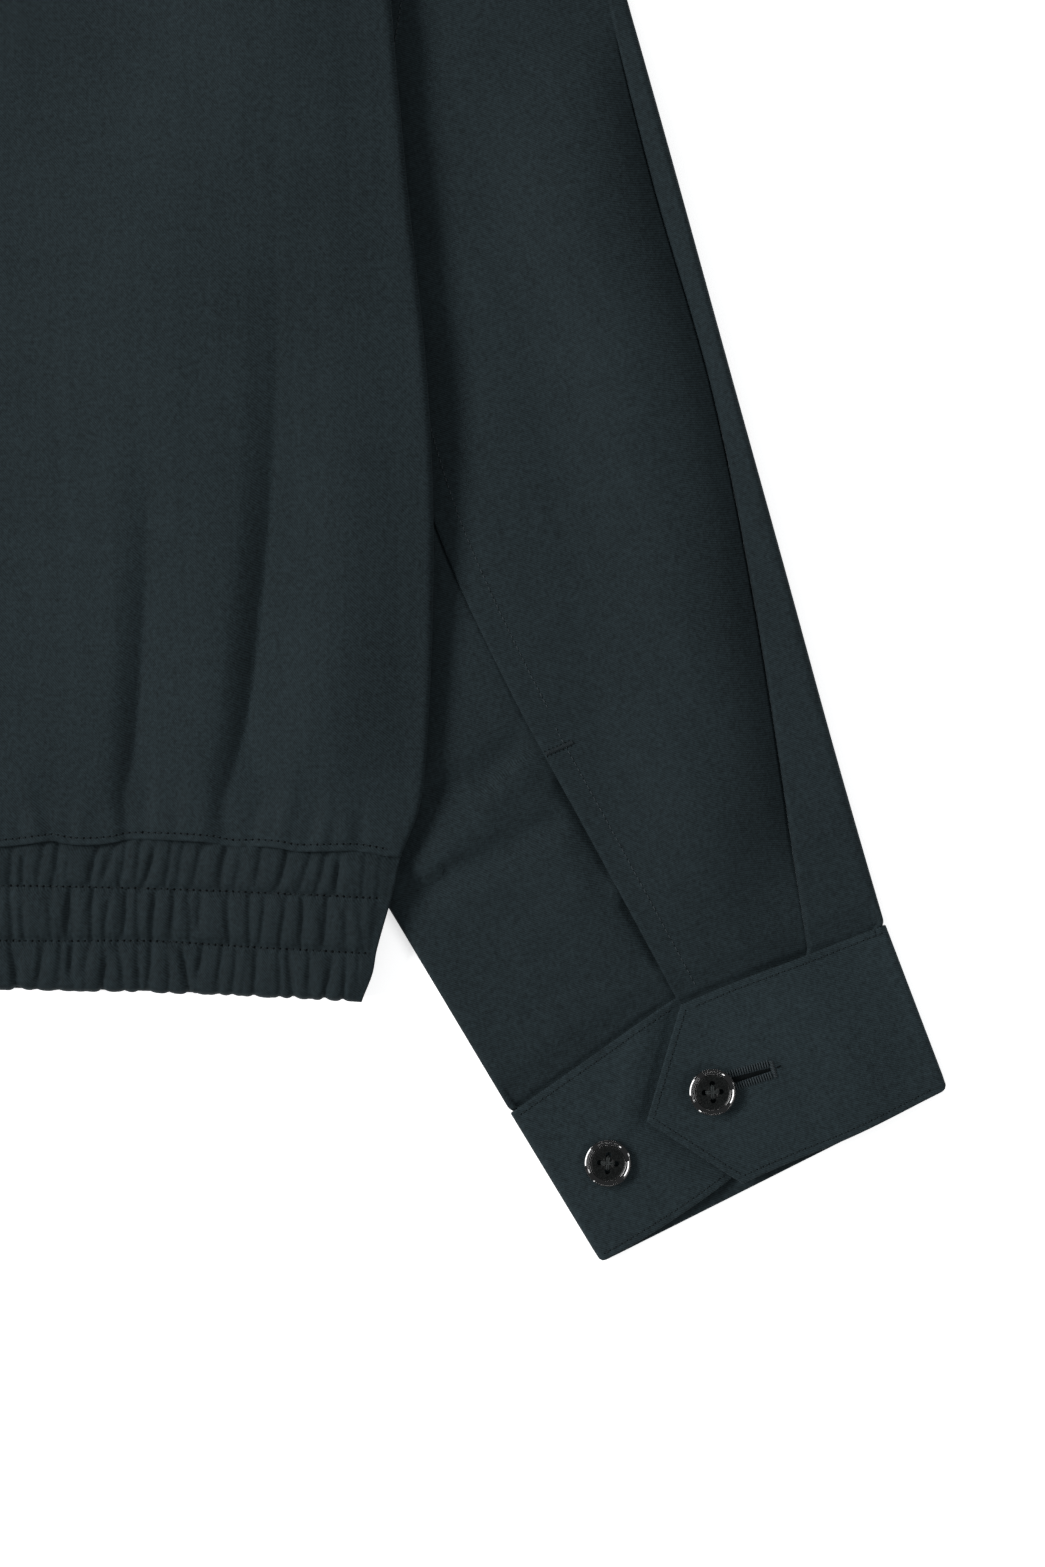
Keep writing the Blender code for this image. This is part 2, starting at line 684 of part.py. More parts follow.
def cuff_points():
    """The cuff: from its hidden end, round the inner fold, the far layer and the outer fold, to the tip."""
    radius = CUFF_LAYER / 2
    low, high = BAND_CLOTH / 2, BAND_CLOTH / 2 + CUFF_LAYER
    rows = []
    for h in CUFF_ROWS:
        near_start = CUFF_TAPER[0] * h + radius
        near_end = CUFF_TOP_WIDTH - CUFF_TAPER[1] * h - radius
        tip = straight(TIP_ENDS, h)
        row = []

        def add(e, z, rises=None):
            rise = along(rises, e, "top") * (1.0 - h) + along(rises, e, "bottom") * h if rises else 0.0
            x, y = cuff_point(e, CUFF_SEAM_GAP + (CUFF_DEPTH - CUFF_SEAM_GAP) * h - rise)
            row.append((x, y, z))

        for k in range(7):
            add(UNDERLAP_END + (near_start - UNDERLAP_END) * k / 6, high, UNDERLAP_RISES)
        for turn in (math.pi / 3, 2 * math.pi / 3):
            add(near_start - radius * math.sin(turn), low + radius + radius * math.cos(turn))
        for k in range(5):
            add(near_start + (near_end - near_start) * k / 4, low)
        for turn in (2 * math.pi / 3, math.pi / 3):
            add(near_end + radius * math.sin(turn), low + radius + radius * math.cos(turn))
        for share in (0.0, 0.10, 0.20, 0.31, 0.42, 0.55, 0.70, 0.85, 1.0):
            e = near_end + (tip - near_end) * share
            add(e, high + CUFF_OVERLAP_STEP * eased((0.120 - e) / 0.026), OVERLAP_RISES)
        rows.append(row)
    return rows


def cuff_button(name, side, row, look, collection, cutters):
    """A four-hole button: a turned dish with a raised rim, and its holes bored through."""
    r, t = BUTTON_RADIUS, BUTTON_THICK
    profile = (
        (0.0, 0.72 * t),
        (0.56 * r, 0.72 * t),
        (0.72 * r, t),
        (0.90 * r, t),
        (r, 0.70 * t),
        (r, 0.35 * t),
        (0.80 * r, 0.0),
        (0.0, 0.0),
    )
    bm = bmesh.new()
    verts = [bm.verts.new((x, 0.0, z)) for x, z in profile]
    for a, b in zip(verts, verts[1:]):
        bm.edges.new((a, b))
    x, y = cuff_point(row.e, row.n)
    button = placed(name, finished(bm, name), look, collection, (side * x, y, row.z))
    turned = button.modifiers.new("turned", "SCREW")
    turned.steps = turned.render_steps = 18
    turned.use_merge_vertices = True
    turned.merge_threshold = 0.00001
    for k in range(4):
        turn = side * CUFF_ANGLE + math.pi / 4 + k * math.pi / 2
        place = (
            side * x + BUTTON_HOLE_AT * math.cos(turn),
            y + BUTTON_HOLE_AT * math.sin(turn),
            row.z + t / 2,
        )
        hole = rod(f"{name}_hole_{k}", BUTTON_HOLE, 0.010, 6, None, cutters, place)
        boolean(button, hole, "DIFFERENCE")
    return button


# ---- collar ----


def collar_points():
    """The stand collar, from the right front end round the back to the left front end."""
    radius = COLLAR_LAYER / 2
    low, high = COLLAR_CLOTH / 2, COLLAR_CLOTH / 2 + COLLAR_LAYER
    rows = []
    for k in range(4):
        v = k / 3
        half = NECK_HALF - COLLAR_INSET - COLLAR_TAPER * v
        rise = COLLAR_HEIGHT * v + COLLAR_GAP
        crown = 0.0012 * (0.4 + 0.6 * v)
        half_row = []
        for share in (0.0, 0.18, 0.38, 0.60, 0.82, 1.0):
            x = COLLAR_FRONT_GAP + (half - radius - COLLAR_FRONT_GAP) * share
            neck = top_y(x / half * NECK_HALF, FRONT_NECK_DROP)
            lift = (front_z(x, neck) - CLOTH / 2) * (1.0 - eased(v))
            half_row.append((x, neck + rise, low + lift))
        for turn in (2 * math.pi / 3, math.pi / 3):
            x = half - radius + radius * math.sin(turn)
            half_row.append((x, NECK_SIDE_Y + rise, low + radius + radius * math.cos(turn)))
        for share in (1.0, 0.82, 0.6, 0.4, 0.2):
            x = (half - radius) * share
            neck = top_y(x / half * NECK_HALF, BACK_NECK_DROP)
            half_row.append((x, neck + rise, high + crown * (1.0 - share**2)))
        centre = (0.0, NECK_SIDE_Y - BACK_NECK_DROP + rise, high + crown)
        rows.append(half_row + [centre] + [(-x, y, z) for x, y, z in reversed(half_row)])
    return rows


# ---- zip ----


def zip_strip(name, low_x, high_x, half_depth, top, look, collection):
    """A strip of the zip that follows its rise over the slider."""
    turns = [SLIDER_Y + step for step in (-0.052, -0.042, -0.032, -0.022, -0.012)]
    ys = [0.0020, 0.2000, 0.4000] + turns + [top]
    rows = [[(x, y, CLOTH / 2 + zip_lift(y)) for x in (low_x, high_x)] for y in ys]
    return cloth_panel(name, rows, 2.0 * half_depth, look, collection)


def zip_slider(look, collection, cutters):
    """The slider: two plates joined by a post between the tapes, and two ears with a pin for the pull."""
    place = (0.0, SLIDER_Y, CLOTH / 2 + ZIP_LIFT + SLIDER_LIFT)
    half = SLIDER_SLOT / 2 + SLIDER_PLATE
    wide, long = SLIDER_WIDTH / 2, SLIDER_LENGTH / 2
    slot, post = SLIDER_SLOT / 2, SLIDER_POST / 2
    slider = block("zip_slider", (-wide, -long, -half), (wide, long, half), look, collection, place)
    boolean(slider, block("slot_chain", (-0.02, -0.02, -slot), (0.02, 0.002, slot), None, cutters, place), "DIFFERENCE")
    for side in (-1, 1):
        low, high = sorted((side * post, side * 0.02))
        cut = block(f"slot_tape_{side + 1}", (low, 0.0, -slot), (high, 0.02, slot), None, cutters, place)
        boolean(slider, cut, "DIFFERENCE")
    axis_y, axis_z = PULL_AXIS[0], PULL_AXIS[1] - place[2]
    inner = PULL_WIDTH / 2 + EAR_GAP
    for side in (-1, 1):
        low, high = sorted((side * inner, side * (inner + EAR_WIDTH)))
        ear = block(
            f"ear_{side + 1}", (low, axis_y - 0.0009, axis_z - 0.0008), (high, axis_y + 0.0009, -half + 0.0002),
            None, cutters, place,
        )
        boolean(slider, ear, "UNION")
    pin = rod("pull_pin", PULL_PIN, 2 * inner + EAR_WIDTH, 10, None, cutters,
              (0.0, SLIDER_Y + axis_y, PULL_AXIS[1]), lies=True)
    boolean(slider, pin, "UNION")
    return slider


def zip_pull(look, collection, cutters):
    """The pull tab, made round its pin's axis, lying towards the hem."""
    half = PULL_WIDTH / 2
    thick = PULL_THICK / 2
    start = math.asin(thick / PULL_RADIUS)
    arc = [math.pi - start - (2 * math.pi - 2 * start) * k / 12 for k in range(13)]
    profile = [(PULL_RADIUS * math.cos(turn), PULL_RADIUS * math.sin(turn)) for turn in arc]
    profile += [(-PULL_LENGTH, -thick), (-PULL_LENGTH, thick)]
    bm = bmesh.new()
    near = [bm.verts.new((-half, y, z)) for y, z in profile]
    far = [bm.verts.new((half, y, z)) for y, z in profile]
    bm.faces.new(near)
    bm.faces.new(list(reversed(far)))
    for k in range(len(profile)):
        after = (k + 1) % len(profile)
        bm.faces.new((near[k], far[k], far[after], near[after]))
    bmesh.ops.recalc_face_normals(bm, faces=bm.faces)
    place = (0.0, SLIDER_Y + PULL_AXIS[0], PULL_AXIS[1])
    pull = placed("zip_pull", finished(bm, "zip_pull", smooth=False), look, collection, place)
    bore = rod("pull_bore", PULL_BORE, 0.02, 12, None, cutters, place, lies=True)
    boolean(pull, bore, "DIFFERENCE")
    return pull


def new_collection(name):
    made = bpy.data.collections.new(name)
    bpy.context.scene.collection.children.link(made)
    return made


def main():
    for old in list(bpy.data.objects):
        bpy.data.objects.remove(old)
    jacket = new_collection("harrington_jacket")
    cutters = new_collection("cutters")
    cutters.hide_render = True

    cloth = {}

    def own_cloth(name, roughness=0.8):
        cloth[name] = material(f"cloth_{name}", CLOTH_COLOUR, roughness)
        return cloth[name]

    cloth_panel("back", back_points(), CLOTH, own_cloth("back"), jacket)
    fronts = front_points()
    cloth_panel("front_right", fronts, CLOTH, own_cloth("front_right"), jacket)
    cloth_panel("front_left", mirrored(fronts), CLOTH, own_cloth("front_left"), jacket)
    hem_band_back(own_cloth("hem_band_back"), jacket)
    bands = band_front_points()
    cloth_panel("hem_band_front_right", bands, BAND_CLOTH, own_cloth("hem_band_front_right"), jacket)
    cloth_panel("hem_band_front_left", mirrored(bands), BAND_CLOTH, own_cloth("hem_band_front_left"), jacket)

    pieces = (
        ("sleeve_top", sleeve_top_points(), CLOTH),
        ("sleeve_under", sleeve_under_points(), CLOTH),
        ("cuff", cuff_points(), BAND_CLOTH),
    )
    for name, points, thickness in pieces:
        even = name == "cuff"
        cloth_panel(f"{name}_right", points, thickness, own_cloth(f"{name}_right"), jacket, even)
        cloth_panel(f"{name}_left", mirrored(points), thickness, own_cloth(f"{name}_left"), jacket, even)
    cloth_panel("collar", collar_points(), COLLAR_CLOTH, own_cloth("collar"), jacket, even=False)

    for side, word in ((1, "right"), (-1, "left")):
        for row in BUTTONS:
            name = f"button_{word}_{row.name}"
            cuff_button(name, side, row, material(f"plastic_{name}", BUTTON_COLOUR, 0.15), jacket, cutters)

    near, far = ZIP_TAPE
    zip_strip("zip_tape_right", near, far, TAPE_HALF_DEPTH, ZIP_TOP_Y, own_cloth("zip_tape_right"), jacket)
    zip_strip("zip_tape_left", -far, -near, TAPE_HALF_DEPTH, ZIP_TOP_Y, own_cloth("zip_tape_left"), jacket)
    chain = material("metal_zip_chain", METAL_COLOUR, 0.35, 1.0)
    zip_strip("zip_chain", -ZIP_HALF_CHAIN, ZIP_HALF_CHAIN, CHAIN_HALF_DEPTH, SLIDER_Y + 0.0015, chain, jacket)
    zip_slider(material("metal_zip_slider", METAL_COLOUR, 0.35, 1.0), jacket, cutters)
    zip_pull(material("metal_zip_pull", METAL_COLOUR, 0.35, 1.0), jacket, cutters)


main()
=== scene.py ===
import math

import bmesh
import bpy
import numpy as np
from mathutils import Matrix, Vector
from mathutils.bvhtree import BVHTree


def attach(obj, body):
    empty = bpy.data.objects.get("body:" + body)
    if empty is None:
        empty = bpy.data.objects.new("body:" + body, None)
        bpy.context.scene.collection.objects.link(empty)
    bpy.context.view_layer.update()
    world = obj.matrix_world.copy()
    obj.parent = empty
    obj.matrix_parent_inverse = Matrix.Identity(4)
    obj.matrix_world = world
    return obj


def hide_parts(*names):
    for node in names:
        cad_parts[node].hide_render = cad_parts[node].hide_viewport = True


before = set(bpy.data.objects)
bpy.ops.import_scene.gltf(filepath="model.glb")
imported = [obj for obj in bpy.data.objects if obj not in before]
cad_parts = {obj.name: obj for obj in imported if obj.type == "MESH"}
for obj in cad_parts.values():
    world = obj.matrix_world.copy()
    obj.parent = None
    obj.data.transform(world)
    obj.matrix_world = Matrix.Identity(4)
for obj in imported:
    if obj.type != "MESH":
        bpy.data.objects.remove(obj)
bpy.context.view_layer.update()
print("frame loaded")

# The jacket lies on its front, back up. X runs to the wearer's right, Y from hem to collar, metres.
# Heights along Y are written from the hem at the centre back and moved by frameShift at the end.
frameShift = 0.3008
sides = ((1, "right"), (-1, "left"))

cloth = {
    "wall": 0.0012,
    "bandWall": 0.0016,
    "collarWall": 0.0020,
    "lip": 0.00035,           # how far a cut edge rounds out
    "colour": (0.0119, 0.0184, 0.0211),
    "twillPitch": 0.00062,
}

body = {
    "hemLift": 0.0010,
    "hemDrop": 0.0045,
    "bandDepth": 0.0437,
    "bandTop": 0.0452,        # the back's folded edge at the centre, and how far it drops to the sides
    "bandTopDrop": 0.0042,
    "seamSide": 0.0408,
    "shoulderX": 0.2706,
    "shoulderY": 0.5820,
    "neckHalf": 0.0877,
    "neckSide": 0.6420,
    "backNeck": 0.0200,
    "frontNeck": 0.0850,
    "armpit": 0.3520,
    "sideRound": 0.0035,
    "sideTurn": math.radians(112),
    "sideGap": 0.0016,
    "seamGap": 0.0003,
    "gap": 0.0018,
    "hemPuff": 0.0016,
    "backPuff": 0.0012,
    "sidePuff": 0.0020,
    "neckLift": 0.0011,
    "hemLap": 0.0012,         # the body's folded edge over the band
}

lifts = {
    "sleeve": 0.0060,
    "run": 0.044,
    "runBack": 0.085,
    "lead": 0.006,
    "top": 0.375,
    "fade": 0.060,
}

zipParts = {
    "top": 0.5540,
    "edge": 0.0070,
    "run": 0.040,             # how far beside it the cloth comes down again
    "lift": 0.0017,
    "sliderLift": 0.0024,
    "sliderY": 0.5400,
    "tapeInner": 0.0023,
    "tapeOuter": 0.0067,
    "tapeWall": 0.0008,
    "toothPitch": 0.0024,
}

# half width of the body at each height
sideRows = np.array((
    (-0.0060, 0.2622), (-0.0034, 0.2631), (0.0045, 0.2662), (0.0115, 0.2675), (0.0288, 0.2724),
    (0.0420, 0.2755), (0.0541, 0.2803), (0.0682, 0.2825), (0.1103, 0.2847), (0.1525, 0.2850),
    (0.1947, 0.2828), (0.2509, 0.2769), (0.3072, 0.2719), (0.3520, 0.2690),
))

# share of the way up the armhole, how far it is scooped in
armholeRows = np.array((
    (0.00, 0.0000), (0.06, 0.0060), (0.14, 0.0110), (0.26, 0.0165), (0.40, 0.0200),
    (0.56, 0.0205), (0.72, 0.0170), (0.87, 0.0098), (1.00, 0.0000),
))

# down the sleeve: inner edge x and y, outer edge x and y, back seam, pleat
sleeveRows = np.array((
    (0.00, 0.2690, 0.3520, 0.2706, 0.5820, 0.36, 0.972),
    (0.10, 0.2675, 0.3380, 0.3010, 0.4700, 0.25, 0.972),
    (0.20, 0.2620, 0.3180, 0.3276, 0.3750, 0.16, 0.972),
    (0.29, 0.2460, 0.2900, 0.3400, 0.3300, 0.22, 0.972),
    (0.37, 0.2280, 0.2550, 0.3460, 0.3080, 0.29, 0.972),
    (0.46, 0.2130, 0.2150, 0.3510, 0.2900, 0.35, 0.972),
    (0.57, 0.2120, 0.1650, 0.3621, 0.2500, 0.39, 0.970),
    (0.68, 0.2240, 0.1150, 0.3786, 0.1900, 0.40, 0.974),
    (0.79, 0.2470, 0.0670, 0.3952, 0.1300, 0.42, 0.944),
    (0.90, 0.2770, 0.0165, 0.4111, 0.0720, 0.45, 0.892),
    (1.00, 0.3100, -0.03875, 0.42625, 0.01969, 0.478, 0.820),
))
innerX, innerY, outerX, outerY, seamAt, pleatAt = 1, 2, 3, 4, 5, 6


def eased(t):
    t = np.clip(t, 0.0, 1.0)
    return t * t * (3.0 - 2.0 * t)


def rising(value, start, span):
    # 0 up to the start, 1 past the span
    return eased((value - start) / span)


def falling(value, start, span):
    return 1.0 - rising(value, start, span)


def bell(distance, width):
    return np.exp(-((distance / width) ** 2))


def hump(t, power, margin=0.0):
    # nothing at both ends, full in the middle
    return np.sin(math.pi * np.clip(t, margin, 1.0 - margin)) ** power


def curve(rows, at, column=1):
    # the smooth curve through one column of a table
    keys, values = rows[:, 0], rows[:, column]
    at = np.clip(at, keys[0], keys[-1])
    i = np.clip(np.searchsorted(keys, at, side="right") - 1, 0, len(keys) - 2)
    low = np.maximum(np.arange(len(keys)) - 1, 0)
    high = np.minimum(np.arange(len(keys)) + 1, len(keys) - 1)
    slope = (values[high] - values[low]) / (keys[high] - keys[low])
    span = keys[i + 1] - keys[i]
    t = (at - keys[i]) / span
    return (
        (2 * t**3 - 3 * t**2 + 1) * values[i]
        + (t**3 - 2 * t**2 + t) * span * slope[i]
        + (3 * t**2 - 2 * t**3) * values[i + 1]
        + (t**3 - t**2) * span * slope[i + 1]
    )


def spread(*stretches):
    # numbers along stretches of a start, an end and a count: only the last one holds its own end
    parts = [np.linspace(a, b, n, endpoint=False) for a, b, n in stretches[:-1]]
    return np.concatenate(parts + [np.linspace(*stretches[-1])])


def pointsOf(x, y, z):
    return np.stack(np.broadcast_arrays(x, y, z), axis=-1)


def sideX(y):
    share = np.clip((y - body["armpit"]) / (body["shoulderY"] - body["armpit"]), 0.0, 1.0)
    line = sideRows[-1, 1] + (body["shoulderX"] - sideRows[-1, 1]) * share
    scooped = line - np.interp(share, armholeRows[:, 0], armholeRows[:, 1])
    return np.where(y <= body["armpit"], curve(sideRows, y), scooped)


def hemY(x):
    return body["hemLift"] - body["hemDrop"] * (np.abs(x) / sideRows[0, 1]) ** 3


def seamY(x):
    return hemY(x) * 0.75 + body["bandDepth"]


def bandTopY(x):
    return body["bandTop"] - body["bandTopDrop"] * (np.abs(x) / sideRows[0, 1]) ** 3


# the back's folded edge over the band, drawn up and down by the gathers: x, height
seamRows = np.array((
    (0.15, 0.0447), (0.156, 0.0449), (0.1614, 0.0456), (0.1666, 0.0462), (0.169, 0.0456), (0.173, 0.045),
    (0.1797, 0.045), (0.185, 0.0456), (0.19, 0.0466), (0.1991, 0.0466), (0.2112, 0.0461), (0.2166, 0.0456),
    (0.2228, 0.0444), (0.2316, 0.0445), (0.2384, 0.0439), (0.2428, 0.043), (0.2553, 0.0431), (0.2603, 0.0432),
    (0.2675, 0.0423), (0.275, 0.0406),
))


def backSeamY(x):
    # the seam's run: listed towards the sides and uneven in the same way between them
    ripple = 0.0008 * np.sin(x * 62.0 + 0.6) + 0.0003 * np.sin(x * 151.0)
    free = bandTopY(x) + ripple * eased((0.152 - np.abs(x)) / 0.020)
    placed = curve(seamRows, np.abs(x))
    return free + (placed - free) * eased((np.abs(x) - 0.150) / 0.006) + body["hemLap"]


def topY(x, drop):
    x = np.abs(x)
    share = (x - body["neckHalf"]) / (body["shoulderX"] - body["neckHalf"])
    shoulder = body["neckSide"] + (body["shoulderY"] - body["neckSide"]) * share
    neck = body["neckSide"] - drop * (1.0 - (x / body["neckHalf"]) ** 2)
    return np.where(x >= body["neckHalf"], shoulder, neck)


def innerEdgeX(y):
    rows = sleeveRows[::-1]
    return np.interp(np.maximum(y, rows[0, innerY]), rows[:, innerY], rows[:, innerX])


def sleeveLift(x, y, run):
    reach = rising(np.abs(x), innerEdgeX(y) - run, run - lifts["lead"])
    return lifts["sleeve"] * reach * falling(y, lifts["top"], lifts["fade"])


def nearZip(x):
    return falling(np.abs(x), zipParts["edge"], zipParts["run"])


def zipLift(y):
    away = np.abs(y - zipParts["sliderY"])
    return zipParts["lift"] + zipParts["sliderLift"] * falling(away, 0.012, zipParts["run"])


def frontZ(x, y):
    return cloth["wall"] / 2 + np.maximum(sleeveLift(x, y, lifts["run"]), zipLift(y) * nearZip(x))


def ramp(u):
    # falls evenly from 1 at 0 to 0 at 1 and runs out softly
    return np.maximum(0.5 * ((1.0 - u) + np.sqrt((1.0 - u) ** 2 + 0.03)) - 0.0075, 0.0)


# soft folds over the gathered seam: x, lean, height, width of the steep side, depth
foldRows = (
    (-0.2630, -0.10, 0.045, 0.0050, 0.0012),
    (-0.2290, -0.16, 0.150, 0.0075, 0.0030),
    (-0.1960, 0.08, 0.085, 0.0062, 0.0019),
    (-0.1580, -0.10, 0.170, 0.0076, 0.0031),
    (-0.1180, 0.07, 0.090, 0.0060, 0.0019),
    (-0.0740, -0.08, 0.150, 0.0072, 0.0028),
    (-0.0300, 0.06, 0.080, 0.0058, 0.0017),
    (0.0140, 0.10, 0.140, 0.0070, 0.0027),
    (0.0580, -0.04, 0.085, 0.0058, 0.0018),
    (0.1040, 0.09, 0.160, 0.0072, 0.0028),
    (0.1460, 0.00, 0.060, 0.0056, 0.0015),
    (0.1655, -0.35, 0.026, 0.0040, 0.0012),
    (0.1888, 0.13, 0.145, 0.0074, 0.0039),
    (0.2205, 0.190, 0.215, 0.0086, 0.0051),
    (0.2405, 0.40, 0.036, 0.0045, 0.0012),
    (0.2590, 0.10, 0.034, 0.0045, 0.0007),
)


def foldDepth(x, y):
    depth = np.zeros_like(x)
    above = y - backSeamY(x)
    for foldX, lean, height, width, deep in foldRows:
        up = np.clip(above / height, 0.0, 1.0)
        off = x - (foldX + lean * above * (1.0 - 0.62 * up))
        # flatter at the sewn edge, and run out at its top
        fade = eased((1.0 - up) / 0.75) * (0.45 + 0.55 * rising(above, 0.0, 0.014))
        wide = width * (1.0 + 0.35 * up)
        # falls ever faster from the left, then rises slowly
        shape = np.where(off < 0.0, ramp(-off / wide) ** 1.5, ramp(off / (2.4 * wide)))
        depth += np.where(np.abs(off) < wide * 4.2, deep * fade * shape, 0.0)
    return depth


# short puckers that the seam throws up: x, lean, height, width, depth
puckerRows = (
    (0.1562, 0.02, 0.016, 0.0022, 0.0004), (0.1712, 0.10, 0.020, 0.0020, 0.0003),
    (0.1768, 0.06, 0.014, 0.0022, 0.0004), (0.1815, -0.05, 0.018, 0.0022, 0.0005),
    (0.1948, 0.10, 0.022, 0.0020, 0.0004), (0.1992, 0.12, 0.016, 0.0018, 0.0004),
    (0.2046, 0.08, 0.024, 0.0022, 0.0005), (0.2095, 0.14, 0.018, 0.0020, 0.0004),
    (0.2290, 0.16, 0.020, 0.0022, 0.0005), (0.2338, 0.18, 0.026, 0.0020, 0.0004),
    (0.2462, 0.22, 0.022, 0.0022, 0.0006), (0.2532, 0.12, 0.026, 0.0024, 0.0005),
    (0.2626, 0.06, 0.018, 0.0022, 0.0005), (0.2680, 0.02, 0.014, 0.0020, 0.0003),
)


def seamPuckers(x, y):
    # the listed ones, mirrored too, and uneven ones like them between
    draw = np.random.default_rng(23)
    rows = list(puckerRows)
    rows += [(-px, -lean, height, width, deep) for px, lean, height, width, deep in puckerRows]
    px = -0.150
    while px < 0.150:
        ranges = ((-0.12, 0.14), (0.012, 0.026), (0.0018, 0.0025), (0.0003, 0.0006))
        rows.append((px, *[draw.uniform(*limits) for limits in ranges]))
        px += draw.uniform(0.0045, 0.0100)
    above = y - backSeamY(x)
    depth = np.zeros_like(x)
    for px, lean, height, width, deep in rows:
        fade = eased(1.0 - above / height) * (0.5 + 0.5 * rising(above, -0.001, 0.004))
        off = x - px - lean * above
        depth += 1.6 * deep * fade * (bell(off, width) - 0.6 * bell(off - 2.1 * width, width))
    return depth


def backZ(x, y):
    lift = np.maximum(sleeveLift(x, y, lifts["runBack"]), zipLift(y) * bell(x, 0.060))
    belowTop = eased((topY(x, body["backNeck"]) - y) / 0.070)
    atSide = rising(np.abs(x), 0.10, 0.16) * falling(y, body["armpit"], 0.07)
    atNeck = eased((0.14 - np.abs(x)) / 0.05) * rising(y, 0.50, 0.05)
    puff = body["hemPuff"] + rising(y, backSeamY(x), 0.042) * (body["backPuff"] + body["sidePuff"] * atSide)
    puff *= 1.0 - (0.32 + 0.50 * falling(y, 0.080, 0.080)) * rising(np.abs(x), sideX(y) - 0.030, 0.030)
    raised = body["gap"] + body["neckLift"] * atNeck + belowTop * (puff - foldDepth(x, y))
    return cloth["wall"] / 2 + lift + np.maximum(raised, 0.0013)


def softWaves(x, y, sizes, seed):
    # broad, uneven undulation: the same each run
    draw = np.random.default_rng(seed)
    total = np.zeros_like(x)
    for size, depth in sizes:
        for _ in range(4):
            turn = draw.uniform(0, 2 * math.pi)
            start = draw.uniform(0, 2 * math.pi)
            pitch = size * draw.uniform(0.75, 1.3)
            waves = (x * math.cos(turn) + y * math.sin(turn)) / pitch
            total += depth / 4 * np.sin(waves * 2 * math.pi + start)
    return total


def unit(vectors):
    return vectors / np.maximum(np.linalg.norm(vectors, axis=2, keepdims=True), 1e-12)


def mirrored(points):
    flipped = points[:, ::-1].copy()
    flipped[..., 0] *= -1
    return flipped


def onSide(points, side):
    return points if side == 1 else mirrored(points)


def makeObject(name, verts, faces, looks, smooth=True):
    mesh = bpy.data.meshes.new(name)
    mesh.from_pydata([tuple(v) for v in verts], [], faces)
    mesh.validate()
    if smooth:
        mesh.shade_smooth()
    for look in looks:
        mesh.materials.append(look)
    made = bpy.data.objects.new(name, mesh)
    bpy.context.scene.collection.objects.link(made)
    return made


def faceOut(mesh, merge=0.0):
    # merges points that lie closer than a distance and turns every face outwards
    bm = bmesh.new()
    bm.from_mesh(mesh)
    if merge:
        bmesh.ops.remove_doubles(bm, verts=bm.verts, dist=merge)
    bmesh.ops.recalc_face_normals(bm, faces=bm.faces)
    bm.to_mesh(mesh)
    bm.free()


def settle(piece, slot, *nodes):
    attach(piece, "jacket")
    if nodes:
        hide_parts(*nodes)
    return piece


def closedShell(name, node, outer, inner, look, coarse, lip):
    # fine outside, coarser inside, rounded cut edges
    shift = (0.0, frameShift, 0.0)
    outer, inner = outer - shift, inner - shift
    rows, columns = outer.shape[:2]
    rings = 4
    rowAt, columnAt = np.arange(-rings, rows + rings), np.arange(-rings, columns + rings)
    spots = np.ix_(np.clip(rowAt, 0, rows - 1), np.clip(columnAt, 0, columns - 1))
    overRow = (rowAt[:, None] - spots[0])[..., None]
    overColumn = (columnAt[None, :] - spots[1])[..., None]
    down, along = [unit(part)[spots] for part in np.gradient((outer + inner) / 2, axis=(0, 1))]
    out = unit(down * overRow + along * overColumn)
    turn = np.maximum(np.abs(overRow), np.abs(overColumn)) / rings * math.pi
    high, low = outer[spots], inner[spots]
    grid = (high + low) / 2 + (high - low) / 2 * np.cos(turn) + out * (lip * np.sin(turn))
    tall, wide = grid.shape[:2]
    verts = grid.reshape(-1, 3).tolist()
    index = np.arange(tall * wide).reshape(tall, wide)
    quads = np.stack((index[:-1, :-1], index[:-1, 1:], index[1:, 1:], index[1:, :-1]), axis=-1)
    faces = quads.reshape(-1, 4).tolist()
    # the plain inside
    rowPicks = sorted({*range(0, rows, coarse[0]), rows - 1})
    columnPicks = sorted({*range(0, columns, coarse[1]), columns - 1})
    far = {}

    def farVert(i, j):
        if i in (0, rows - 1) or j in (0, columns - 1):
            a = 0 if i == 0 else (tall - 1 if i == rows - 1 else i + rings)
            b = 0 if j == 0 else (wide - 1 if j == columns - 1 else j + rings)
            return int(index[a, b])
        if (i, j) not in far:
            far[i, j] = len(verts)
            verts.append(inner[i, j])
        return far[i, j]

    for r0, r1 in zip(rowPicks, rowPicks[1:]):
        for c0, c1 in zip(columnPicks, columnPicks[1:]):
            loop = [farVert(r0, c) for c in (range(c0, c1) if r0 == 0 else (c0,))]
            loop += [farVert(r, c1) for r in (range(r0, r1) if c1 == columns - 1 else (r0,))]
            loop += [farVert(r1, c) for c in (range(c1, c0, -1) if r1 == rows - 1 else (c1,))]
            loop += [farVert(r, c0) for r in (range(r1, r0, -1) if c0 == 0 else (r1,))]
            faces.append(loop[::-1])
    made = makeObject(name, verts, faces, [look])
    faceOut(made.data, 2e-6)
    made.data.shade_smooth()
    print(f"{name}: {len(made.data.polygons)} faces")
    return settle(made, "shell_cloth", node)


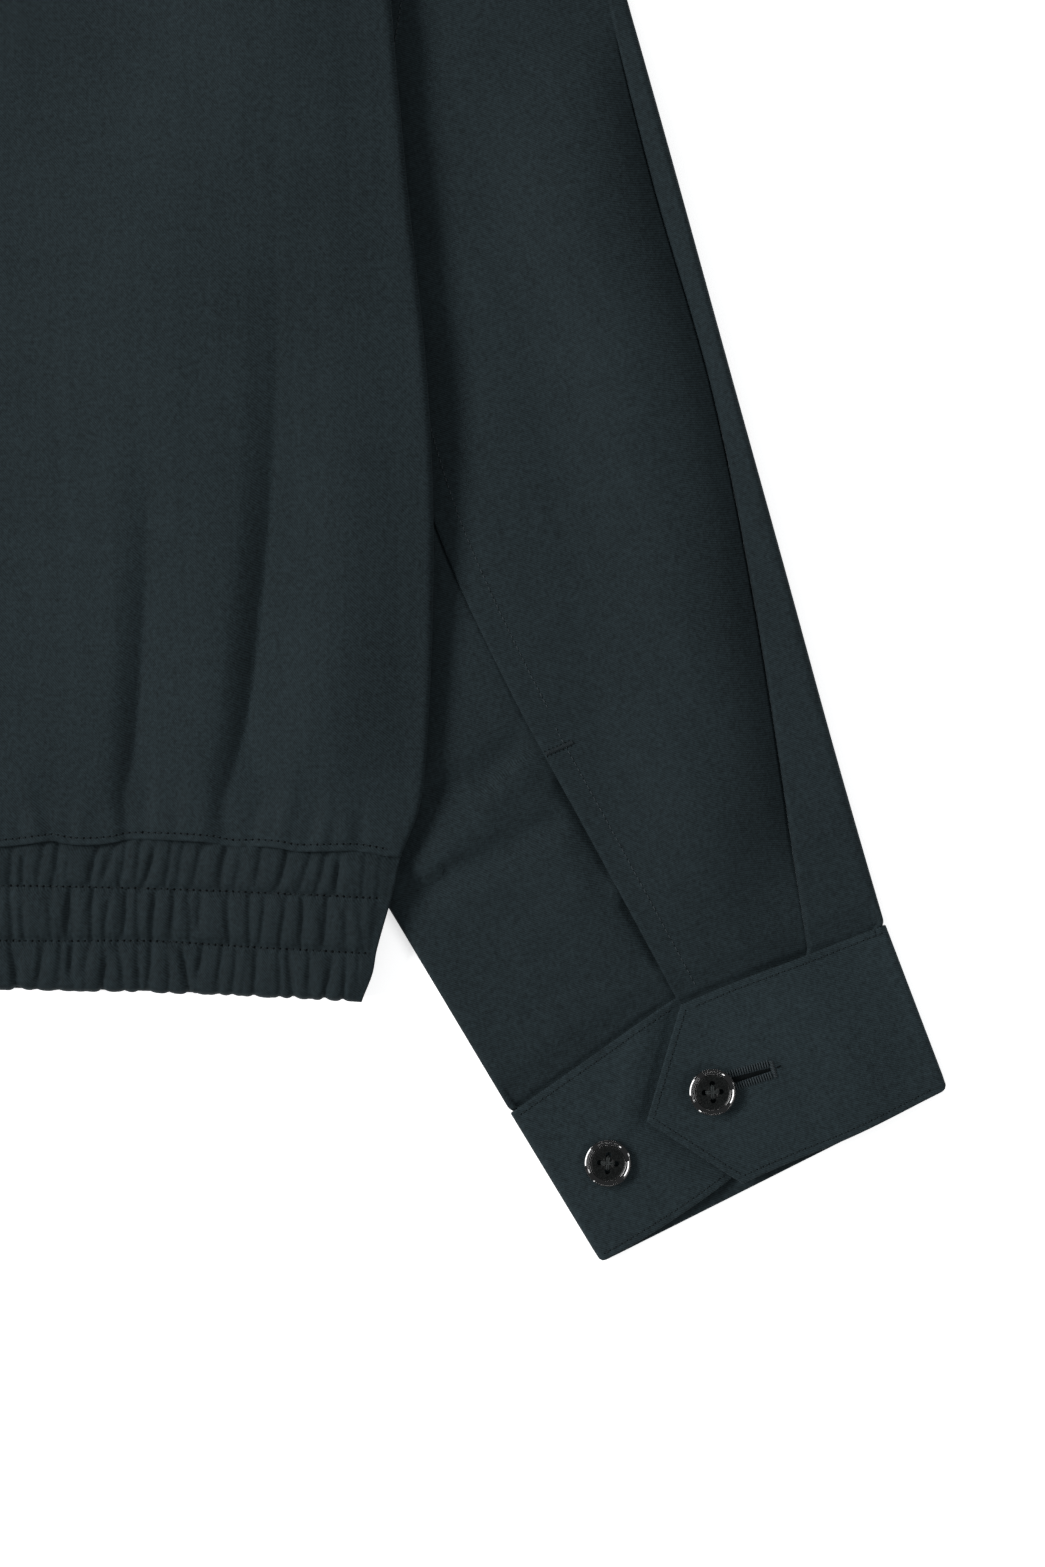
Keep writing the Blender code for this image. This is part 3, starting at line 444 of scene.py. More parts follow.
def clothShell(name, node, points, look, outward, coarse, wall=cloth["wall"], relief=0.0):
    # a wall of even thickness round a grid of points, with any relief on its outside only
    down, along = np.gradient(points, axis=(0, 1))
    normal = unit(np.cross(along, down) * outward)
    outer = points + normal * wall / 2 + normal * np.asarray(relief)[..., None]
    return closedShell(name, node, outer, points - normal * wall / 2, look, coarse, cloth["lip"])


class Look:
    # one material: every input of its nodes takes a value or another node's output
    def __init__(self, name):
        self.material = bpy.data.materials.new(name)
        self.material.use_nodes = True
        self.tree = self.material.node_tree
        self.place = self.add("TexCoord", {}).outputs["Object"]

    def fill(self, node, inputs):
        for key, value in inputs.items():
            if isinstance(value, bpy.types.NodeSocket):
                self.tree.links.new(value, node.inputs[key])
            else:
                node.inputs[key].default_value = value
        return node

    def add(self, kind, inputs):
        return self.fill(self.tree.nodes.new(f"ShaderNode{kind}"), inputs)

    def noise(self, place, scale, detail=2.0, rough=0.5):
        inputs = {"Vector": place, "Scale": scale, "Detail": detail, "Roughness": rough}
        return self.add("TexNoise", inputs).outputs["Fac"]

    def mapped(self, place, **inputs):
        return self.add("Mapping", {"Vector": place, **inputs}).outputs["Vector"]

    def reckon(self, operation, a, b):
        node = self.add("Math", {0: a, 1: b})
        node.operation = operation
        return node.outputs["Value"]

    def tones(self, value, dark, light, ends=(0.0, 1.0)):
        node = self.add("ValToRGB", {"Fac": value})
        for stop, at, colour in zip(node.color_ramp.elements, ends, (dark, light)):
            stop.position = at
            stop.color = (*colour, 1.0)
        return node.outputs["Color"]

    def between(self, value, low, high):
        return self.add("MapRange", {"Value": value, "To Min": low, "To Max": high}).outputs["Result"]

    def bump(self, height, strength, distance, **inputs):
        inputs.update(Height=height, Strength=strength, Distance=distance)
        return self.add("Bump", inputs).outputs["Normal"]

    def finished(self, inputs):
        self.fill(self.tree.nodes["Principled BSDF"], inputs)
        return self.material


def scaled(colour, by):
    return [c * by for c in colour]


def twillCloth(name, turn=0.0, tone=1.0):
    # fine matt twill: slanted ribs, uneven yarns, faint streaks along the warp and slow changes of tone
    look = Look(name)
    turned = look.mapped(look.place, Rotation=(0.0, 0.0, turn))

    def noise(scale, detail, stretch=(1.0, 1.0, 1.0)):
        return look.noise(look.mapped(turned, Scale=stretch), scale, detail, 0.55)

    wavePeriod = 0.6283       # of a wave whose scale is 1
    ribs = look.add("TexWave", {"Vector": turned, "Scale": wavePeriod / (cloth["twillPitch"] * 1.414),
                                "Distortion": 1.2, "Detail": 1.0, "Detail Scale": 0.6})
    ribs.bands_direction = "DIAGONAL"
    weave = look.reckon("MULTIPLY", ribs.outputs["Fac"], noise(1500.0, 2.0, (1.0, 0.35, 1.0)))
    grain = noise(900.0, 2.0)
    warp = noise(260.0, 3.0, (1.0, 0.03, 1.0))
    weft = noise(200.0, 2.0, (0.03, 1.0, 1.0))
    slow = noise(14.0, 3.0)
    mix = None
    for value, middle, share in (
        (weave, 0.25, 0.55), (grain, 0.5, 0.70), (warp, 0.5, 0.14), (weft, 0.5, 0.08), (slow, 0.5, 0.16),
    ):
        part = look.reckon("MULTIPLY", look.reckon("SUBTRACT", value, middle), share)
        mix = part if mix is None else look.reckon("ADD", mix, part)
    mix = look.reckon("ADD", mix, 0.5)
    # tone scales the whole colour: above 1 for the cuffs it is painted light, below 1 for the hem band
    # painted shade, for the zip tape the tape's own colour
    colour = scaled(cloth["colour"], tone)
    fine = look.bump(weave, 0.35, 0.00012)
    return look.finished({
        "Base Color": look.tones(mix, scaled(colour, 0.38), scaled(colour, 1.70), (0.18, 0.82)),
        "Roughness": look.between(grain, 0.72, 0.92),
        "Specular IOR Level": 0.10,
        "Sheen Weight": 0.05,
        "Sheen Roughness": 0.35,
        "Sheen Tint": (0.75, 0.88, 0.95, 1.0),
        "Normal": look.bump(noise(95.0, 3.0), 0.30, 0.0006, Normal=fine),
    })


def speckled(name, scale, dark, light, shine, detail=2.0, ends=(0.0, 1.0), rub=None, pits=None):
    # fine changes of tone, and where given the same in roughness or height
    look = Look(name)
    grain = look.noise(look.place, scale, detail)
    inputs = {"Base Color": look.tones(grain, dark, light, ends), **shine}
    if rub:
        inputs["Roughness"] = look.between(grain, *rub)
    if pits:
        inputs["Normal"] = look.bump(grain, *pits)
    return look.finished(inputs)


def threadLook(name, colour=(0.013, 0.018, 0.020)):
    shine = {"Roughness": 0.75, "Specular IOR Level": 0.12}
    return speckled(name, 2600.0, scaled(colour, 0.6), scaled(colour, 1.5), shine, pits=(0.4, 0.0001))


def darkMetal(name, colour=(0.045, 0.046, 0.048)):
    return speckled(name, 500.0, scaled(colour, 0.7), scaled(colour, 1.5),
                    {"Metallic": 1.0}, 4.0, rub=(0.22, 0.42))


sleeveSlant = math.radians(-26.7)
bodyTwill = twillCloth("twill_body")
# the band's cloth is the body's twill made 0.87 as bright: painted shade
bandTwillShaded = twillCloth("twill_hem_band_painted_shade", tone=0.87)
sleeveTwill, cuffTwillLit = {}, {}
for side, word in sides:
    sleeveTwill[side] = twillCloth(f"twill_sleeve_{word}", side * sleeveSlant)
    # the cuffs' cloth is the sleeves' twill made 1.19 as bright: painted light
    cuffTwillLit[side] = twillCloth(f"twill_cuff_painted_light_{word}", side * sleeveSlant, tone=1.19)
collarTwill = twillCloth("twill_collar", math.radians(90))
tapeTwill = twillCloth("zip_tape_weave", math.radians(45), tone=0.8)
thread = threadLook("sewing_thread")
lightThread = threadLook("sewing_thread_light", (0.030, 0.038, 0.042))
buttonThreadLook = threadLook("sewing_thread_button", (0.027, 0.031, 0.031))
tackThread = threadLook("sewing_thread_tack", (0.0130, 0.0180, 0.0205))
# painted shade: near-black for needle holes, the buttonhole's slit and the pull beyond it, where shade falls
paintedHoleShade = speckled("needle_holes_painted_shade", 900.0, (0.0015, 0.0020, 0.0023), (0.0045, 0.0060, 0.0066),
                    {"Roughness": 0.95, "Specular IOR Level": 0.05})
plastic = speckled("button_plastic_black", 420.0, (0.0012, 0.0013, 0.0014), (0.0040, 0.0041, 0.0042),
                   {"Specular IOR Level": 0.9, "Coat Weight": 1.0, "Coat Roughness": 0.02},
                   3.0, rub=(0.02, 0.06))
# the dull, finely pitted inside of a button's rim
stippled = speckled("button_plastic_face", 2300.0, (0.0012, 0.0016, 0.0016), (0.0078, 0.0094, 0.0092),
                    {"Roughness": 0.32, "Specular IOR Level": 0.28}, 1.0, (0.38, 0.66), pits=(0.8, 0.0001))
print("looks made")

stitch = {
    "pitch": 0.00205,
    "length": 0.00150,
    "radius": 0.00017,
    "proud": 0.00010,
    "sunk": 0.00022,
}

backPanel = {
    "halfColumns": 236,
    "turns": 12,
    "topstitch": 0.0019,      # up from the folded edge
    "grooveWidth": 0.0009,
    "grooveDepth": 0.00022,
    "waves": ((0.090, 0.0009), (0.045, 0.0004), (0.022, 0.00012)),
}


def bodyRows(*stretches):
    # heights at the side, close together near the hem, their share of the whole and the side's x
    top = body["shoulderY"] - body["seamSide"]
    levels = body["seamSide"] + spread(*stretches, (top, top, 1))
    return levels, (levels - body["seamSide"]) / top, sideX(levels) - body["seamGap"] / 2


def hemShare(v):
    # how far the seam's own run still shows at a share of the height
    return falling(v, 0.0, 0.45)


def bodyY(x, v, seam, drop):
    level = body["seamSide"] + (seam(x) - body["seamSide"]) * hemShare(v)
    return level * (1.0 - v) + topY(x, drop) * v


def turnedSide(edge, level, turn, onBack):
    # a pressed edge: flat nearly to its end, then turned short
    folded = falling(level, body["armpit"] - 0.012, 0.010)
    centre = edge - body["sideRound"]
    high, low = backZ(centre, level), frontZ(centre, level)
    squared = 0.62
    roundX = centre + body["sideRound"] * np.sin(turn) ** squared
    roundZ = (high + low) / 2 + (high - low) / 2 * np.sign(np.cos(turn)) * np.abs(np.cos(turn)) ** squared
    halfGap = body["sideGap"] / 2 / body["sideRound"]
    if onBack:
        share = turn / (body["sideTurn"] - halfGap)
        flatZ = backZ(centre + body["sideRound"] * share, level)
    else:
        share = (math.pi - turn) / (math.pi - body["sideTurn"] - halfGap)
        flatZ = low
    flatX = centre + body["sideRound"] * share
    return pointsOf(flatX + (roundX - flatX) * folded, level, flatZ + (roundZ - flatZ) * folded)


def backGrid():
    levels, v, edge = bodyRows((0, 0.0004, 1), (0.0004, 0.0036, 8), (0.0036, 0.012, 8), (0.012, 0.060, 26),
                               (0.060, 0.150, 34), (0.150, 0.311, 36), (0.311, 0.5412, 40))
    count = backPanel["halfColumns"]
    x = np.arange(-count, count + 1) / count * (edge - body["sideRound"])[:, None]
    y = bodyY(x, v[:, None], backSeamY, body["backNeck"]) - body["hemLap"] * falling(v, 0.0, 0.02)[:, None]
    waves = softWaves(x, y, backPanel["waves"], 7) * rising(y, 0.05, 0.05)
    waves *= eased((topY(x, body["backNeck"]) - y) / 0.05) * eased((edge[:, None] - np.abs(x)) / 0.04)
    flat = pointsOf(x, y, backZ(x, y) + waves)
    end = body["sideTurn"] - body["sideGap"] / 2 / body["sideRound"]
    turn = end * np.arange(1, backPanel["turns"] + 1) / backPanel["turns"]
    level = levels + (y[:, -1] - levels) * hemShare(v)
    right = turnedSide(edge[:, None], level[:, None], turn, True)
    return np.concatenate((mirrored(right), flat, right), axis=1)


def backRelief(grid):
    # the pressed line of topstitching and its small puckers
    x, y = grid[..., 0], grid[..., 1]
    above = y - (backSeamY(x) - body["hemLap"]) - backPanel["topstitch"]
    groove = -backPanel["grooveDepth"] * bell(above, backPanel["grooveWidth"])
    stitches = -0.00012 * np.cos(x * 2 * math.pi / stitch["pitch"]) * bell(above, 0.0012)
    edge = eased((0.272 - np.abs(x)) / 0.01)
    return groove + (stitches - seamPuckers(x, y)) * edge


grid = backGrid()
back = clothShell("jacket_back", "back", grid, bodyTwill, 1.0, (5, 5), relief=backRelief(grid))
print("back panel made")

frontPanel = {"columns": 72, "turns": 4}


def frontGrid():
    levels, v, edge = bodyRows((0, 0.020, 12), (0.020, 0.311, 50), (0.311, 0.5412, 40))
    share = np.linspace(0.0, 1.0, frontPanel["columns"])
    x = zipParts["edge"] + (edge - body["sideRound"] - zipParts["edge"])[:, None] * share
    y = bodyY(x, v[:, None], seamY, body["frontNeck"])
    end = body["sideTurn"] + body["sideGap"] / 2 / body["sideRound"]
    turn = math.pi + (end - math.pi) * np.arange(1, frontPanel["turns"] + 1) / frontPanel["turns"]
    level = levels + (y[:, -1] - levels) * hemShare(v)
    turned = turnedSide(edge[:, None], level[:, None], turn, False)
    return np.concatenate((pointsOf(x, y, frontZ(x, y)), turned), axis=1)[:, ::-1]


fronts = {}
grid = frontGrid()
for side, word in sides:
    name, node = f"jacket_front_{word}", f"front_{word}"
    fronts[side] = clothShell(name, node, onSide(grid, side), bodyTwill, 1.0, (3, 3))
print("fronts made")

hemBand = {
    "columns": 900,
    "tuckUnder": 0.08,        # how much of its depth runs on up under the body's folded edge
    "stitchRows": (0.290, 0.670),
    "puff": (0.0013, 0.0018, 0.0019),
    "bottomRound": 0.0022,
    "lip": 0.0004,
    "ridgePitch": 0.0071,     # the light gathers of the front runs
    "ridgeHeight": 0.00035,
}

# gathers in the band's three channels: x of each trough, lean (top towards the side), depth
gatherRows = (
    ((0.153, 0.1, 0.7), (0.1575, 0.14, 0.9), (0.1625, 0.12, 0.5), (0.1668, 0.2, 0.8), (0.1712, 0.16, 0.5),
     (0.179, 0.32, 1.1), (0.1835, 0.3, 0.9), (0.188, 0.2, 0.8), (0.1932, 0.22, 0.7), (0.1968, 0.24, 1.0),
     (0.2025, 0.18, 0.8), (0.2068, 0.22, 0.9), (0.212, 0.2, 0.9), (0.22, 0.22, 1.0), (0.224, 0.16, 0.6),
     (0.2302, 0.24, 0.8), (0.238, 0.28, 1.0), (0.2452, 0.24, 0.8), (0.2505, 0.3, 0.9), (0.256, 0.2, 1.0),
     (0.264, 0.16, 0.5), (0.2692, 0.1, 0.4)),
    ((0.1528, 0.02, 0.9), (0.157, 0.02, 0.7), (0.1652, 0.05, 0.5), (0.171, 0.06, 1.1), (0.1722, 0.04, 0.8),
     (0.1788, 0.03, 0.9), (0.1836, 0.05, 0.8), (0.1888, 0.04, 1.0), (0.1934, 0.06, 0.7), (0.1982, 0.08, 1.1),
     (0.204, 0.05, 0.8), (0.2088, 0.06, 0.7), (0.2122, 0.04, 1.0), (0.2212, 0.04, 0.9), (0.2279, 0.03, 0.8),
     (0.2322, 0.02, 0.7), (0.2386, 0.06, 0.9), (0.2446, 0.05, 1.0), (0.2518, 0.12, 1.2), (0.258, 0.02, 0.7),
     (0.2632, 0.06, 0.5), (0.2672, 0.04, 0.4)),
    ((0.1533, -0.14, 1.0), (0.1556, -0.1, 0.6), (0.162, 0.04, 0.9), (0.1684, 0.02, 0.5), (0.1722, 0.14, 1.2),
     (0.177, 0.08, 0.6), (0.1826, 0.1, 0.9), (0.1876, -0.06, 0.8), (0.1932, 0.05, 0.7), (0.1962, 0.04, 0.9),
     (0.202, -0.02, 0.6), (0.2075, -0.1, 1.1), (0.2122, 0.08, 1.0), (0.2188, 0.02, 0.6), (0.223, 0.14, 0.7),
     (0.2296, 0.12, 0.9), (0.2372, 0.02, 0.7), (0.2412, -0.04, 1.0), (0.247, 0.02, 0.8), (0.2528, 0.14, 1.0),
     (0.2576, 0.12, 0.9), (0.2622, 0.05, 0.5)),
)


def channelGathers(channel):
    # the listed ones, mirrored too, and uneven ones like them between
    draw = np.random.default_rng(90 + channel)
    placed = gatherRows[channel]
    rows = list(placed)
    for x, lean, deep in placed:
        rows.append((-x - draw.uniform(-0.0012, 0.0012), -lean, deep * draw.uniform(0.8, 1.1)))
    # strong ones over the middle, then fine ones all along: half the stretch, lean, depth and distance
    for half, leans, depths, steps in (
        (0.1495, (-0.12, 0.20), (0.5, 1.15), (0.0036, 0.0074)),
        (0.2660, (-0.15, 0.30), (0.10, 0.34), (0.0024, 0.0054)),
    ):
        x = -half
        while x < half:
            rows.append((x, draw.uniform(*leans), draw.uniform(*depths)))
            x += draw.uniform(*steps)
    # how long each is, and whether it starts at the row above or the one below
    return [(*row, draw.uniform(0.75, 1.9), draw.random() < 0.5) for row in rows]


def bandBackZ(x, y):
    lift = np.maximum(sleeveLift(x, y, lifts["runBack"]), 0.0019 * bell(x, 0.045))
    return cloth["bandWall"] * 1.5 + 0.0004 + lift


def bandY(x, r, seam):
    top = seam(x) - body["seamGap"] - 0.0001
    return top + (hemY(x) - top) * r


def backBandY(x, r):
    # the rows below the seam run straighter than it does
    top = bandTopY(x) + body["hemLap"] - body["seamGap"] - 0.0001
    wave = (backSeamY(x) - body["hemLap"] - bandTopY(x)) * (1.0 - eased((r + 0.02) / 0.26))
    rise = 0.0009 * bell(np.abs(x) - 0.197, 0.024) * bell(r - 0.67, 0.22)
    return top + (hemY(x) - 0.0005 - top) * r + wave + rise


def bandEdge(r, inset):
    return sideX(bandY(sideRows[5, 1], r, seamY)) - inset


def bandGrids():
    # its outside and inside: three puffed channels, each gathered by its elastic
    r = spread((-hemBand["tuckUnder"], 0.0, 3), (0.0, 0.94, 44), (0.94, 1.0, 8))[:, None]
    across = np.linspace(-1.0, 1.0, hemBand["columns"] + 1)
    edge = bandEdge(np.maximum(r, 0.0), 0.0)
    x = across * edge
    y = backBandY(x, r)
    base = bandBackZ(x, y)
    atEdge = eased((edge - np.abs(x)) / 0.007)
    depth, puff = np.zeros_like(x), np.zeros_like(x)
    bounds = (0.0, *hemBand["stitchRows"], 1.0)
    for k, (low, high) in enumerate(zip(bounds, bounds[1:])):
        t = (r - low) / (high - low)
        first, last = k == 0, k == 2
        inside = eased(np.minimum(r - low + first, high - r + last) / 0.05 + 0.5)
        swell = np.sin(math.pi / 2 * np.clip(t * 1.55, 0.0, 1.0)) ** 0.7 if last else hump(t, 0.6)
        if first:
            swell = 0.35 + 0.65 * swell
        puff += hemBand["puff"][k] * swell * inside
        for gatherX, lean, deep, reach, fromAbove in channelGathers(k):
            bend = 0.0005 * np.sin(3.0 * t + gatherX * 900.0)
            off = x - (gatherX + lean * (0.5 - t) * 0.0145 + bend)
            # a thin crease with a steep left side and a slower right one, and a soft hollow round it
            width = np.where(off < 0.0, 0.0007, 0.0019) * (0.75 + 0.35 * deep)
            shape = 0.00130 * deep * (0.80 * np.exp(-np.abs(off) / width) + 0.35 * bell(off, 0.0013))
            along = t if fromAbove else 1.0 - t
            shape *= eased((reach - along) / 0.35) * (0.60 + 0.40 * hump(t, 0.7, 0.03)) * inside
            depth += np.where(np.abs(off) < 0.0065, shape, 0.0)
    for row in hemBand["stitchRows"]:
        beside = (r - row) * body["bandDepth"]
        tugs = 0.00016 * np.sin(x * 2 * math.pi / 0.0027 + 2.5 * np.sin(x * 310.0))
        puff += tugs * bell(beside, 0.0026) - 0.00040 * bell(beside, 0.0009)
    rounding = np.clip((r - 1.0) * body["bandDepth"] / hemBand["bottomRound"] + 1.0, 0.0, 1.0)
    fallen = 1.0 - np.sqrt(1.0 - rounding**2)
    relief = np.maximum((puff - depth) * (0.25 + 0.75 * atEdge) * (1.0 - 0.4 * fallen), -0.0010)
    top = base + cloth["bandWall"] * (0.10 + 0.4 * atEdge) + relief - 0.0018 * falling(r, -0.02, 0.13)
    low = base - cloth["bandWall"] / 2
    top -= (top - low) * 0.62 * fallen
    # its lower edge is drawn up at each gather
    drawn = np.clip(0.0011 * (depth / 0.0010 - 0.4) * rising(r, 0.80, 0.20) * atEdge, -0.0009, 0.0014)
    sway = 0.0005 * np.sin(across * 31.0 + 3.0 * r) * np.sin(math.pi * r) * atEdge
    return pointsOf(x + sway, y + drawn, top), pointsOf(x, y + drawn, low)


bandBack = closedShell("jacket_hem_band_back", "hem_band_back", *bandGrids(),
                       bandTwillShaded, (8, 10), hemBand["lip"])


def bandFrontGrid():
    r = spread((-0.06, 0.0, 2), (0.0, 1.0, 22))[:, None]
    edge = bandEdge(np.maximum(r, 0.0), 0.0004)
    x = zipParts["edge"] + (edge - zipParts["edge"]) * np.linspace(0.0, 1.0, 170)
    y = bandY(x, r, seamY)
    lift = np.maximum(sleeveLift(x, y, lifts["run"]), (zipParts["lift"] - 0.0002) * nearZip(x))
    return pointsOf(x, y, cloth["bandWall"] / 2 + lift)[:, ::-1]


grid = bandFrontGrid()
ridges = np.abs(np.sin(grid[..., 0] * math.pi / hemBand["ridgePitch"] + 1.3 * np.sin(grid[..., 0] * 90.0)))
ridges *= -hemBand["ridgeHeight"]
bandFronts = {}
for side, word in sides:
    name, node = f"jacket_hem_band_front_{word}", f"hem_band_front_{word}"
    bandFronts[side] = clothShell(name, node, onSide(grid, side), bandTwillShaded, -1.0, (4, 6), cloth["bandWall"],
                                  ridges[:, ::side])
print("hem band made")

sleeve = {
    "fold": 0.0012,
    "puff": 0.0010,
    "seamStep": 0.0006,
    "openingStep": 0.0018,
    "openingStart": 0.82,
    "openingLap": 0.012,
    "tackAt": 0.840,
    "frontSeam": 0.30,
    "usualWidth": 0.12,
    "pleatStep": 0.0026,
    "tuck": 0.017,
    "tipGap": 0.0002,
    "capGap": 0.0032,
    "intoCuff": 1.014,
    "topstitch": 0.0078,      # in from the back seam
    "openingStitch": 0.0070,
    "waves": ((0.060, 0.0007), (0.030, 0.0003)),
}

cuff = {
    "cornerX": 0.3100,
    "cornerY": -0.03875,
    "turn": math.radians(26.69),
    "topWidth": 0.1301,
    "depth": 0.0548,
    "taper": (0.0043, 0.0056),
    "layer": 0.0022,
    "overlapStep": 0.0029,
    "underlapEnd": 0.080,
    "tipAt": 0.48,
    "seamGap": 0.0006,
    "topstitch": 0.0018,      # in from each edge
    "corner": 0.0016,
    "buttonhole": ((0.0632, 0.0216), (0.0782, 0.0243)),     # its ends, along the cuff and down it
}

# how far the near layers of the cuff are drawn up: along the cuff, at its top, at its bottom
overlapRises = np.array((
    (0.0000, 0.0068, 0.0030), (0.0545, 0.0068, 0.0027), (0.0740, 0.0058, 0.0018),
    (0.0880, 0.0045, 0.0006), (0.1050, 0.0025, 0.0001), (0.1301, 0.0000, 0.0000),
))
underlapRises = np.array((
    (0.0000, 0.0000, 0.0000), (0.0160, 0.0024, 0.0008), (0.0310, 0.0046, 0.0022),
    (0.0495, 0.0074, 0.0050), (0.0620, 0.0088, 0.0070), (0.0880, 0.0092, 0.0075),
))
tipEnds = np.array(((0.0, 0.0623), (0.48, 0.0365), (1.0, 0.0545)))
# drag lines in the under sleeve: points along each, the widths of its left and right side, its depth,
# which is negative for a ridge
dragRows = (
    (((0.3128, 0.0784), (0.3019, 0.0684), (0.2841, 0.0631)), 0.0040, 0.0060, 0.0014),
    (((0.3147, 0.0694), (0.2975, 0.0494), (0.2803, 0.0369)), 0.0050, 0.0050, -0.0011),
    (((0.3253, 0.0541), (0.3138, 0.0478), (0.3019, 0.0406), (0.2803, 0.0297)), 0.0035, 0.0060, 0.0015),
    (((0.3276, 0.0648), (0.3354, 0.0508), (0.3442, 0.0383)), 0.0062, 0.0130, 0.0026),
    (((0.3462, 0.0268), (0.3522, 0.0174), (0.3581, 0.0081)), 0.0040, 0.0100, 0.0021),
    (((0.3525, 0.0056), (0.3291, 0.0025), (0.3156, -0.0062)), 0.0015, 0.0025, 0.0005),
    (((0.3331, 0.0316), (0.3240, 0.0215), (0.3120, 0.0120)), 0.0060, 0.0060, -0.0006),
)


def cuffSpot(e, n):
    cos, sin = math.cos(cuff["turn"]), math.sin(cuff["turn"])
    return cuff["cornerX"] + e * cos + n * sin, cuff["cornerY"] + e * sin - n * cos


def sleeveEdges(s):
    return [curve(sleeveRows, s, column) for column in (innerX, innerY, outerX, outerY)]


def sleeveWidth(s):
    inX, inY, outX, outY = sleeveEdges(s)
    return np.hypot(outX - inX, outY - inY)


def sleevePoint(s, q, rises, step=0.0):
    # q: 0 to 1 over the upper layer from inner to outer edge, 1 to 2 round the outer fold, 2 to 3 back below,
    # 0 to -1 round the inner fold and -1 to -2 below
    s, q = np.broadcast_arrays(np.asarray(s, float), np.asarray(q, float))
    inX, inY, outX, outY = sleeveEdges(s)
    fold = sleeve["fold"] / sleeveWidth(s)
    low = cloth["wall"] / 2
    high = low + 2 * sleeve["fold"]
    cap = falling(s, 0.0, 0.2)
    onTop = (q >= 0.0) & (q <= 1.0)
    outerFold = (q > 1.0) & (q < 2.0)
    innerFold = (q > -1.0) & (q < 0.0)
    # the upper layer, which meets the back's edge at the cap
    wTop = fold + q * (1.0 - 2.0 * fold)
    yTop = inY + (outY - inY) * wTop
    own = high + sleeve["puff"] * hump(q, 0.7) * (1.0 - 0.6 * rising(s, 0.8, 0.2))
    meets = backZ(sideX(yTop), yTop) - own
    zTop = own + step + meets * cap * rising(wTop, 0.04, 0.12)
    # the two folds and the lower layer
    turnOut, turnIn = (q - 1.0) * math.pi, -q * math.pi
    topOut = high + (low + body["gap"] - high) * cap
    wOut = 1.0 - fold + fold * np.sin(turnOut)
    zOut = (low + topOut) / 2 + (topOut - low) / 2 * np.cos(turnOut)
    wIn = fold - fold * np.sin(turnIn)
    zIn = (low + high) / 2 + sleeve["fold"] * np.cos(turnIn)
    wBelow = fold + np.where(q >= 2.0, 3.0 - q, -1.0 - q) * (1.0 - 2.0 * fold)
    w = np.where(onTop, wTop, np.where(outerFold, wOut, np.where(innerFold, wIn, wBelow)))
    z = np.where(onTop, zTop, np.where(outerFold, zOut, np.where(innerFold, zIn, low)))
    # the upper layer is drawn up at the cuff and runs on into it
    pulled = np.where(onTop, curve(rises, w * cuff["topWidth"]) * rising(s, 0.70, 0.30), 0.0)
    along = np.maximum(s - 1.0, 0.0) * np.where(onTop, 0.62, 0.03) - pulled
    across = w + 0.04 * rising(s, 0.997, 0.008) * (0.5 - w)
    x = inX + (outX - inX) * across + math.sin(cuff["turn"]) * along
    y = inY + (outY - inY) * across - math.cos(cuff["turn"]) * along
    scoop = np.interp(np.clip(w, 0.0, 1.0), armholeRows[:, 0], armholeRows[:, 1])
    x += falling(s, 0.0, 0.12) * (body["seamGap"] / 2 - scoop)
    x -= falling(s, 0.06, 0.20) * falling(w, 0.0, 0.10) * sleeve["tuck"]
    x += falling(s, 0.0, 0.06) * rising(w, 0.85, 0.15) * sleeve["tipGap"]
    return x, y, z


def lapShare(s):
    return rising(s, sleeve["openingStart"], 0.05)


def topStep(s):
    opened = rising(s, sleeve["openingStart"] - 0.12, 0.10)
    return sleeve["seamStep"] * rising(s, 0.0, 0.15) + (sleeve["openingStep"] - sleeve["seamStep"]) * opened


def sleeveDrape(x, y, s, q, seed):
    # slow hollows and swells of the laid sleeve, gone at its edges and seams
    amount = hump(q, 0.8) * rising(s, 0.0, 0.15) * (1.0 - 0.7 * rising(s, 0.9, 0.1))
    return softWaves(x, y, sleeve["waves"], seed) * amount


def bodyPress(x, y, s):
    # the sleeve is pressed down where the body's side lies across it
    high = rising(y, 0.100, 0.080)
    amount = (0.0001 + 0.0017 * high) * bell(x - sideX(y) - 0.002, 0.012 + 0.013 * high)
    return amount * rising(s, 0.22, 0.12) * rising(y, 0.036, 0.012)


def pleatShare(s, atCuff):
    return rising(s, 0.34, 0.22) * (1.0 - (1.0 - atCuff) * rising(s, 0.905, 0.07))


def intoCuff(s):
    # down to the cuff's edge, with a thin hollow right beside the seam
    return -0.0017 * rising(s, 0.980, 0.018) - 0.0005 * rising(s, 0.9966, 0.0022)


stations = spread((0.0, 0.30, 34), (0.30, 0.80, 64), (0.80, 0.984, 46), (0.984, sleeve["intoCuff"], 22))


